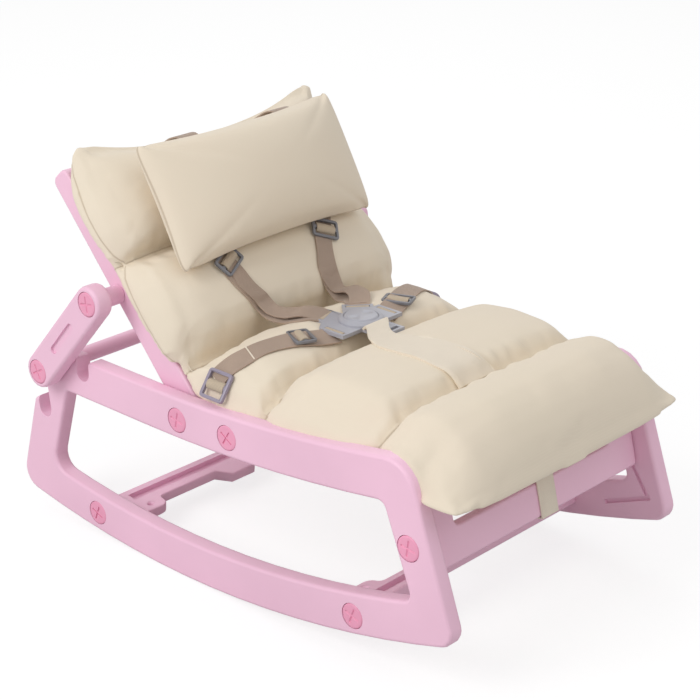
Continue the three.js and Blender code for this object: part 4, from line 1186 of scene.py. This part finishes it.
FAR_SHOULDER: list[Station] = [
    ((86, 42, 334), (109, 42, 333)), ((71, 30, 323), (95, 29, 322)), ((52, 11, 311), (77, 11, 310)),
    ((41, -3, 298), (65, -2, 298)), ((34, -12, 284), (59, -12, 284)), ((35, -19, 268), (60, -18, 267)),
    ((42, -25, 256), (60, -26, 257)), ((46, -38, 258), (64, -40, 261)), ((37, -53, 259), (61, -60, 260)),
    ((26, -62, 255), (46, -75, 256)), ((21, -65, 252), (38, -80, 252)),
]
FAR_SHOULDER_TAIL: list[Station] = [
    ((60, 24, 315), (84, 24, 314)), ((41, -1, 295), (65, 0, 295)), ((33, -11, 281), (58, -11, 281)),
    ((35, -18, 264), (59, -17, 263)), ((39, -28, 250), (57, -29, 252)), ((33, -44, 249), (53, -50, 251)),
    ((25, -60, 250.5), (43, -74, 251.5)),
]
NEAR_LAP: list[Station] = [
    ((-37, -113.5, 251.4), (-37, -88.5, 251.4)), ((-54, -110, 253), (-48, -86, 254)),
    ((-70, -103, 253), (-61, -80, 255)), ((-85, -96, 253), (-75, -73, 255)), ((-101, -90, 252), (-92, -67, 254)),
    ((-116, -86, 250), (-108, -63, 253)), ((-131, -82, 244), (-123, -60, 250)),
    ((-144, -75, 235), (-134, -54, 244)), ((-151, -69, 226), (-143, -48, 234)),
    ((-156, -66, 219), (-149, -44, 226)),
]
STITCHES: list[Station] = [
    ((-130.6, -81.5, 246), (-122.6, -60.5, 251)), ((-129.4, -81.9, 246.4), (-121.4, -60.9, 251.4)),
]
FAR_LAP: list[Station] = [
    ((42, -113.5, 251.4), (42, -88.5, 251.4)), ((58, -108, 252), (53, -84, 253)), ((74, -102, 252), (66, -79, 254)),
    ((88, -96, 252), (80, -73, 254)), ((104, -89, 251), (96, -66, 253)), ((118, -84, 249), (110, -61, 251)),
    ((131, -80, 244), (124, -57, 248)), ((143, -75, 236), (136, -53, 241)), ((152, -70, 227), (145, -48, 232)),
    ((157, -67, 219), (150, -45, 225)),
]
CROTCH: list[Station] = [
    ((-15, -121, 256), (21, -121, 256)), ((-17, -126, 260.5), (17, -125, 260.5)),
    ((-23, -134, 261.5), (10, -133, 261.5)), ((-35, -147, 260.5), (-3, -146, 260.5)),
    ((-48, -168, 262), (-13, -163, 262)), ((-54, -186, 265), (-15, -181, 266)), ((-54, -206, 266), (-8, -200, 266)),
    ((-50, -222, 265), (-2, -217, 266)), ((-49, -242, 262.5), (1, -237, 263.5)), ((-45, -256, 257), (5, -255, 257)),
    ((-42, -264, 249), (11, -263, 249)), ((-41, -270, 243), (13, -270, 243)),
]
# How far the webbing carries each slider from its place in the model, in millimetres and degrees.
SLIDER_SHIFTS: list[tuple[str, Body, tuple[float, float, float], float]] = [
    ("shoulder_slider_right", Body.BACKREST, (0.0, -1.5, 3.0), 0.0),
    ("shoulder_slider_left", Body.BACKREST, (-8.0, -3.0, 2.5), 0.0),
    ("lap_slider_right", Body.BASE, (-1.0, 10.0, 3.0), -25.0),
    ("lap_slider_left", Body.BASE, (-1.0, 9.0, 2.4), 24.0),
]
CLIP_SHIFT = (-5.0, 22.0, 2.0)
LOOP_X = 68.0
# The pillow's loops, as places up the back and out of it.
LOOP_PATH = (
    (246, 100), (254, 95), (259, 84), (261, 70), (264, 54), (267, 40), (266, 26), (260, 13), (250, 6), (240, 2),
)


@dataclass(frozen=True)
class Lay:
    """How a ribbon lies: its thickness, how far it stands off the cushions, and how closely it hugs them."""

    thickness: float = 0.0014
    clearance: float = 0.0011
    hug: float = 0.0
    columns: int = 7
    step: float = 0.0028


@dataclass(frozen=True)
class Ribbon:
    """Flat webbing woven between two edges, over the cushions that it lies on."""

    cushions: BVHTree
    probe: float = 0.03
    evenings: int = 14
    sideways_pull: float = 0.4
    outward: tuple[float, float, float] = (0.0, -0.55, 0.83)

    @staticmethod
    def spline(points: np.ndarray, shares: np.ndarray) -> np.ndarray:
        """Reads a smooth curve through points.

        Args:
            points: The points.
            shares: Where to read the curve, counted in points.

        Returns:
            A point of the curve for each share.
        """
        last = len(points) - 1
        first = np.clip(shares.astype(int), 0, last - 1)
        part = (shares - first)[:, None]
        before, after = points[np.maximum(first - 1, 0)], points[np.minimum(first + 2, last)]
        start, end = points[first], points[first + 1]
        return 0.5 * (
            2 * start + (end - before) * part + (2 * before - 5 * start + 4 * end - after) * part ** 2
            + (3 * start - before - 3 * end + after) * part ** 3
        )

    def weave(self, name: str, route: Sequence[Station], lay: Lay, back: bool = False) -> bpy.types.Object:
        """Makes a ribbon.

        Args:
            name: The piece's name.
            route: Pairs of opposite edge points, in order along it.
            lay: How it lies.
            back: Whether the points are in the back's own frame.

        Returns:
            The closed ribbon.
        """
        place = back_point if back else seat_point
        left = np.array([place(*pair[0]) for pair in route])
        right = np.array([place(*pair[1]) for pair in route])
        spans = np.linalg.norm(np.diff((left + right) / 2, axis=0), axis=1)
        reach = np.concatenate([[0.0], np.cumsum(spans)])
        rows = max(int(reach[-1] / lay.step), 4)
        shares = np.interp(np.linspace(0, reach[-1], rows + 1), reach, np.arange(len(reach)))
        left, right = self.spline(left, shares), self.spline(right, shares)
        across = np.linspace(0, 1, lay.columns)
        grid = left[:, None] * (1 - across[None, :, None]) + right[:, None] * across[None, :, None]
        normal = np.cross(right - left, np.gradient((left + right) / 2, axis=0))
        normal /= np.maximum(np.linalg.norm(normal, axis=1), 1e-9)[:, None]
        normal *= np.where(normal @ np.array(self.outward) < 0, -1.0, 1.0)[:, None]
        if lay.clearance > 0:
            grid = self.settle(grid, normal, lay)
        return self.solid(name, grid, normal, lay)

    def settle(self, grid: np.ndarray, normal: np.ndarray, lay: Lay) -> np.ndarray:
        """Lifts a ribbon's points clear of the cushions, or lets them down onto these.

        Args:
            grid: Its points, row by row.
            normal: Which way each row faces.
            lay: How it lies.

        Returns:
            The settled points.
        """
        need = np.full(grid.shape[:2], -1.0)
        for row in range(grid.shape[0]):
            ahead = Vector(normal[row])
            for column in range(grid.shape[1]):
                start = Vector(grid[row, column]) + ahead * self.probe
                found, _, _, distance = self.cushions.ray_cast(start, -ahead, self.probe + max(lay.hug, 0.0))
                if found is not None:
                    need[row, column] = distance
        lift = np.where(need >= 0, self.probe - need + lay.clearance, -lay.hug)
        move = np.maximum(lift, 0.0) if lay.hug == 0.0 else lift.copy()
        pull = self.sideways_pull
        for _ in range(self.evenings):
            padded = np.pad(move, ((1, 1), (1, 1)), mode="edge")
            beside = pull * padded[1:-1, :-2] + pull * padded[1:-1, 2:]
            mean = (padded[:-2, 1:-1] + padded[2:, 1:-1] + beside) / (2 + 2 * pull)
            move = np.maximum(mean, lift)
        return grid + normal[:, None, :] * move[:, :, None]

    def solid(self, name: str, grid: np.ndarray, normal: np.ndarray, lay: Lay) -> bpy.types.Object:
        """Turns a grid of points into a closed ribbon with its own map.

        Args:
            name: The piece's name.
            grid: Its points, row by row.
            normal: Which way each row faces.
            lay: Its thickness.

        Returns:
            The ribbon.
        """
        rows, columns = grid.shape[:2]
        middle = grid.mean(axis=1)
        along = np.concatenate([[0.0], np.cumsum(np.linalg.norm(np.diff(middle, axis=0), axis=1))])
        width = float(np.linalg.norm(grid[:, -1] - grid[:, 0], axis=1).mean())
        bm = bmesh.new()
        strap_map = bm.loops.layers.uv.new("strap")
        verts = [[bm.verts.new(grid[i, j]) for j in range(columns)] for i in range(rows)]
        for i in range(rows - 1):
            for j in range(columns - 1):
                ring = [(i, j), (i, j + 1), (i + 1, j + 1), (i + 1, j)]
                face = bm.faces.new([verts[a][b] for a, b in ring])
                for loop, (a, b) in zip(face.loops, ring):
                    loop[strap_map].uv = (along[a], width * b / (columns - 1))
        bm.normal_update()
        bm.faces.ensure_lookup_table()
        if bm.faces[0].normal.dot(Vector(normal[0])) < 0:
            bmesh.ops.reverse_faces(bm, faces=bm.faces)
        obj = Bench.from_bmesh(bm, name)
        Bench.finish_modifier(obj, "SOLIDIFY", thickness=lay.thickness, offset=0.0)
        Bench.smooth(obj, 50.0)
        return obj


@dataclass
class Harness:
    """The five-point harness: webbing, buckle, sliders and clips, laid over the finished cushions."""

    finishes: Finishes
    ribbon: Ribbon
    buckle_centre: tuple[float, float] = (4.0, -101.0)
    slot_reach: float = 39.3
    webbing: float = 25.0
    turned_arm: float = 132.0
    turned_to: float = 112.0
    far_arm: float = 48.0
    arm_half_angle: float = 27.0
    arm_from: float = 0.0245
    arm_end: float = 0.034
    press_ring: float = 0.0175
    press_out: float = 1.19
    thumb_radius: float = 0.014
    thumb_apart: float = 0.0095
    thumb_lift: float = 0.0131
    binding: float = 0.085
    slot_shape: tuple[tuple[float, float], ...] = (
        (-3.4, 4.0), (-2.6, 1.4), (-1.0, 0.5), (1.0, 0.5), (2.6, 1.4), (3.4, 4.0),
    )
    fold_half: float = 11.5
    fold_shape: tuple[tuple[float, float], ...] = (
        (-5.0, -1.2), (-4.0, 0.8), (-2.0, 2.0), (0.0, 2.4), (2.0, 2.0), (4.0, 0.8), (5.0, -1.2),
    )
    arm_top: float = field(init=False, default=0.0)

    def build(self) -> None:
        """Makes and hangs every part of the harness."""
        self.shoulder_straps()
        self.lap_straps()
        self.crotch_piece()
        self.buckle()
        self.slot_webbing()
        self.sliders()
        self.clips()
        self.loops()
        self.foot_tie()

    def strap(self, name: str, route: Sequence[Station], lay: Lay, back: bool = False) -> bpy.types.Object:
        """Weaves one strap and gives it its webbing.

        Args:
            name: The piece's name.
            route: Its edges.
            lay: How it lies.
            back: Whether the route is in the back's own frame.

        Returns:
            The strap, not yet on a body.
        """
        obj = self.ribbon.weave(name, route, lay, back)
        obj.data.materials.append(self.finishes.webbing)
        LOG.info("%s woven, %d faces", name, len(obj.data.polygons))
        return obj

    def shoulder_straps(self) -> None:
        """Lays both shoulder straps from under the pillow into the buckle, each with its second layer."""
        layers = (
            ("near_shoulder_webbing", NEAR_SHOULDER, Lay(clearance=0.0034), Side.RIGHT),
            ("near_shoulder_tail", NEAR_SHOULDER_TAIL, Lay(clearance=0.0012), None),
            ("far_shoulder_webbing", FAR_SHOULDER, Lay(clearance=0.0034), Side.LEFT),
            ("far_shoulder_tail", FAR_SHOULDER_TAIL, Lay(clearance=0.0012), None),
        )
        for name, route, lay, side in layers:
            obj = self.strap(name, route, lay)
            if side is not None:
                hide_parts(f"shoulder_strap_{side.word}", f"shoulder_strap_end_{side.word}")
            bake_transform(obj)

    def lap_straps(self) -> None:
        """Lays the lap straps from the clips into the buckle, with a row of white stitches on the near one."""
        lay = Lay(clearance=0.0012, hug=0.006)
        for name, route, side in (("near", NEAR_LAP, Side.RIGHT), ("far", FAR_LAP, Side.LEFT)):
            obj = self.strap(f"{name}_lap_webbing", route, lay)
            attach(obj, Body.BASE.value)
            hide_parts(f"lap_strap_{side.word}")
        thread = Lay(thickness=0.0006, clearance=0.0023, hug=0.006, columns=3)
        stitches = self.ribbon.weave("lap_stitches", STITCHES, thread)
        Bench.place(stitches, Body.BASE, "cushion_fabric", self.finishes.tape)

    def crotch_piece(self) -> None:
        """Drapes the cream crotch piece from the buckle over the middle seat cushion into its seam."""
        obj = self.ribbon.weave("crotch_piece", CROTCH, Lay(thickness=0.0026, clearance=0.0016, columns=11))
        Bench.round_edges(obj, 0.0008, 60.0)
        Bench.place(obj, Body.BASE, "cushion_fabric", self.finishes.tape, "crotch_strap")
        for name, start, end in (("near", -0.01, self.binding), ("far", 1 - self.binding, 1.01)):
            route = [
                tuple(tuple(Vector(left).lerp(Vector(right), share)) for share in (start, end))
                for left, right in CROTCH
            ]
            lay = Lay(thickness=0.0022, clearance=0.0026, columns=5)
            edge = self.ribbon.weave(f"crotch_binding_{name}", route, lay)
            Bench.place(edge, Body.BASE, "cushion_fabric", self.finishes.tape)

    def buckle(self) -> None:
        """Dresses the buckle: one arm turned to its strap, and a wider press plate, hollowed for a thumb."""
        body = Bench.copy_of("buckle", "buckle_moulding")
        button = Bench.copy_of("buckle_button", "buckle_press")
        centre = seat_point(*self.buckle_centre, 0.0)
        turn = math.radians(self.turned_to - self.turned_arm)
        for vert in body.data.vertices:
            flat = vert.co - centre
            radius, angle = math.hypot(flat.x, flat.y), math.degrees(math.atan2(flat.y, flat.x))
            if radius > self.arm_from and abs(angle - self.turned_arm) < self.arm_half_angle:
                vert.co.x = centre.x + flat.x * math.cos(turn) - flat.y * math.sin(turn)
                vert.co.y = centre.y + flat.x * math.sin(turn) + flat.y * math.cos(turn)
            elif radius < self.press_ring:
                vert.co.x, vert.co.y = centre.x + flat.x * self.press_out, centre.y + flat.y * self.press_out
        for vert in button.data.vertices:
            flat = vert.co - centre
            vert.co.x, vert.co.y = centre.x + flat.x * self.press_out, centre.y + flat.y * self.press_out
        arms = [vert.co.z for vert in body.data.vertices if (vert.co - centre).xy.length > self.arm_end]
        self.arm_top = (max(arms) - FLOOR_SHIFT.z) / MM
        LOG.info("the buckle's arms are %.1f mm up", self.arm_top)
        top = max(vert.co.z for vert in button.data.vertices)
        for side in (-1, 1):
            place = (centre.x + side * self.thumb_apart, centre.y, top + self.thumb_lift)
            Bench.clear()
            bpy.ops.mesh.primitive_uv_sphere_add(
                segments=40, ring_count=24, radius=self.thumb_radius, location=place,
            )
            Bench.combine(button, Bench.settle(bpy.context.object, "thumb_hollow"), "DIFFERENCE")
        for obj, width in ((body, 0.0005), (button, 0.0003)):
            Bench.round_edges(obj, width, 40.0)
            Bench.smooth(obj, 35.0)
        Bench.place(body, Body.BASE, "harness_plastic", self.finishes.hardware, "buckle")
        Bench.place(button, Body.BUTTON, "harness_plastic", self.finishes.hardware, "buckle_button")

    def slot_webbing(self) -> None:
        """Shows the folded webbing in the slots of the buckle's arms."""
        arms = {"near_lap": 180.0, "far_lap": 0.0, "near_shoulder": self.turned_to, "far_shoulder": self.far_arm}
        for name, degrees in arms.items():
            angle = math.radians(degrees)
            out, side = Vector((math.cos(angle), math.sin(angle))), Vector((-math.sin(angle), math.cos(angle)))
            route = []
            for offset, drop in self.slot_shape:
                middle = Vector(self.buckle_centre) + out * (self.slot_reach + offset)
                ends = [middle + side * (s * self.webbing * 0.48) for s in (-1, 1)]
                route.append(tuple((end.x, end.y, self.arm_top - drop) for end in ends))
            obj = self.ribbon.weave(f"{name}_fold", route, Lay(thickness=0.0012, clearance=0.0, step=0.0008))
            Bench.place(obj, Body.BASE, "webbing", self.finishes.pale_webbing)

    def dress(
        self, node: str, body: Body, material: bpy.types.Material, shift: Vector, turn: float = 0.0,
    ) -> bpy.types.Object:
        """Copies a node, moves it to where the webbing carries it, rounds it and gives it its finish.

        Args:
            node: The model node.
            body: The body that it moves with.
            material: Its finish.
            shift: How far it moves, in millimetres.
            turn: How far it turns on the seat, in degrees.

        Returns:
            The piece.
        """
        obj = Bench.copy_of(node, f"{node}_moulding")
        rows = Shell.points(obj.data)
        middle = (rows.min(axis=0) + rows.max(axis=0)) / 2
        spun = (rows - middle) @ np.array(Matrix.Rotation(math.radians(turn), 3, "Z")).T
        Shell.write(obj.data, spun + middle + np.array(shift) * MM)
        Bench.round_edges(obj, 0.0006, 40.0)
        Bench.smooth(obj, 35.0)
        return Bench.place(obj, body, "harness_plastic", material, node)

    def sliders(self) -> None:
        """Threads the sliders onto the straps, with the webbing rising over each middle bar."""
        for node, body, shift, turn in SLIDER_SHIFTS:
            self.fold_over(self.dress(node, body, self.finishes.dark_hardware, Vector(shift), turn), body)

    def fold_over(self, ring: bpy.types.Object, body: Body) -> None:
        """Lays a fold of webbing over the middle bar of a slider or clip.

        Args:
            ring: The slider or clip, already in its place.
            body: The body that it moves with.
        """
        rows = Shell.points(ring.data)
        middle = (rows.min(axis=0) + rows.max(axis=0)) / 2
        up, along, across = (Vector(axis) for axis in np.linalg.eigh(np.cov((rows - middle).T))[1].T)
        if up.dot(Vector((0.0, -0.5, 0.8))) < 0:
            up = -up
        centre = (Vector(middle) - FLOOR_SHIFT) / MM
        route = []
        for run, rise in self.fold_shape:
            point = centre + along * run + up * rise
            route.append((tuple(point - across * self.fold_half), tuple(point + across * self.fold_half)))
        fold = self.ribbon.weave(f"{ring.name}_fold", route, Lay(thickness=0.0012, clearance=0.0, step=0.0009))
        Bench.place(fold, body, "webbing", self.finishes.pale_webbing)

    def clips(self) -> None:
        """Hangs the side clips on the flanks of the seat, with the webbing's fold in each slot."""
        for side in Side:
            inward, back, up = CLIP_SHIFT
            shift = Vector((side.value * inward, back, up))
            clip = self.dress(f"side_clip_{side.word}", Body.BASE, self.finishes.clip_hardware, shift)
            self.fold_over(clip, Body.BASE)

    def loops(self) -> None:
        """Hangs the pillow's webbing loops over the top of the back."""
        half = self.webbing / 2
        for side in Side:
            middle = side.value * LOOP_X
            route = [((middle - half, along, front), (middle + half, along, front)) for along, front in LOOP_PATH]
            obj = self.strap(f"pillow_loop_{side.word}", route, Lay(clearance=0.0), back=True)
            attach(obj, Body.BACKREST.value)
            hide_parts(f"pillow_strap_{side.word}")

    def foot_tie(self) -> None:
        """Dresses the tape that ties the foot of the mattress down."""
        foot = Bench.copy_of("foot_loop", "foot_tape")
        tape_map = foot.data.uv_layers.new(name="strap")
        for loop in foot.data.loops:
            place = foot.data.vertices[loop.vertex_index].co
            tape_map.uv[loop.index].vector = (place.y + place.z, place.x)
        Bench.round_edges(foot, 0.0004, 50.0)
        Bench.smooth(foot, 50.0)
        Bench.place(foot, Body.BASE, "cushion_fabric", self.finishes.tape, "foot_loop")


def main() -> None:
    """Builds the scene in order."""
    logging.basicConfig(level=logging.INFO, format="%(name)s: %(message)s")
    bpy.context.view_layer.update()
    finishes = Finishes()
    Studio().build()
    Mouldings(finishes).build()
    mattress = Mattress(finishes).build()
    Pillow(finishes).build()
    cushions = BVHTree.FromObject(mattress, bpy.context.evaluated_depsgraph_get())
    Harness(finishes, Ribbon(cushions)).build()


if __name__ == "__main__":
    main()
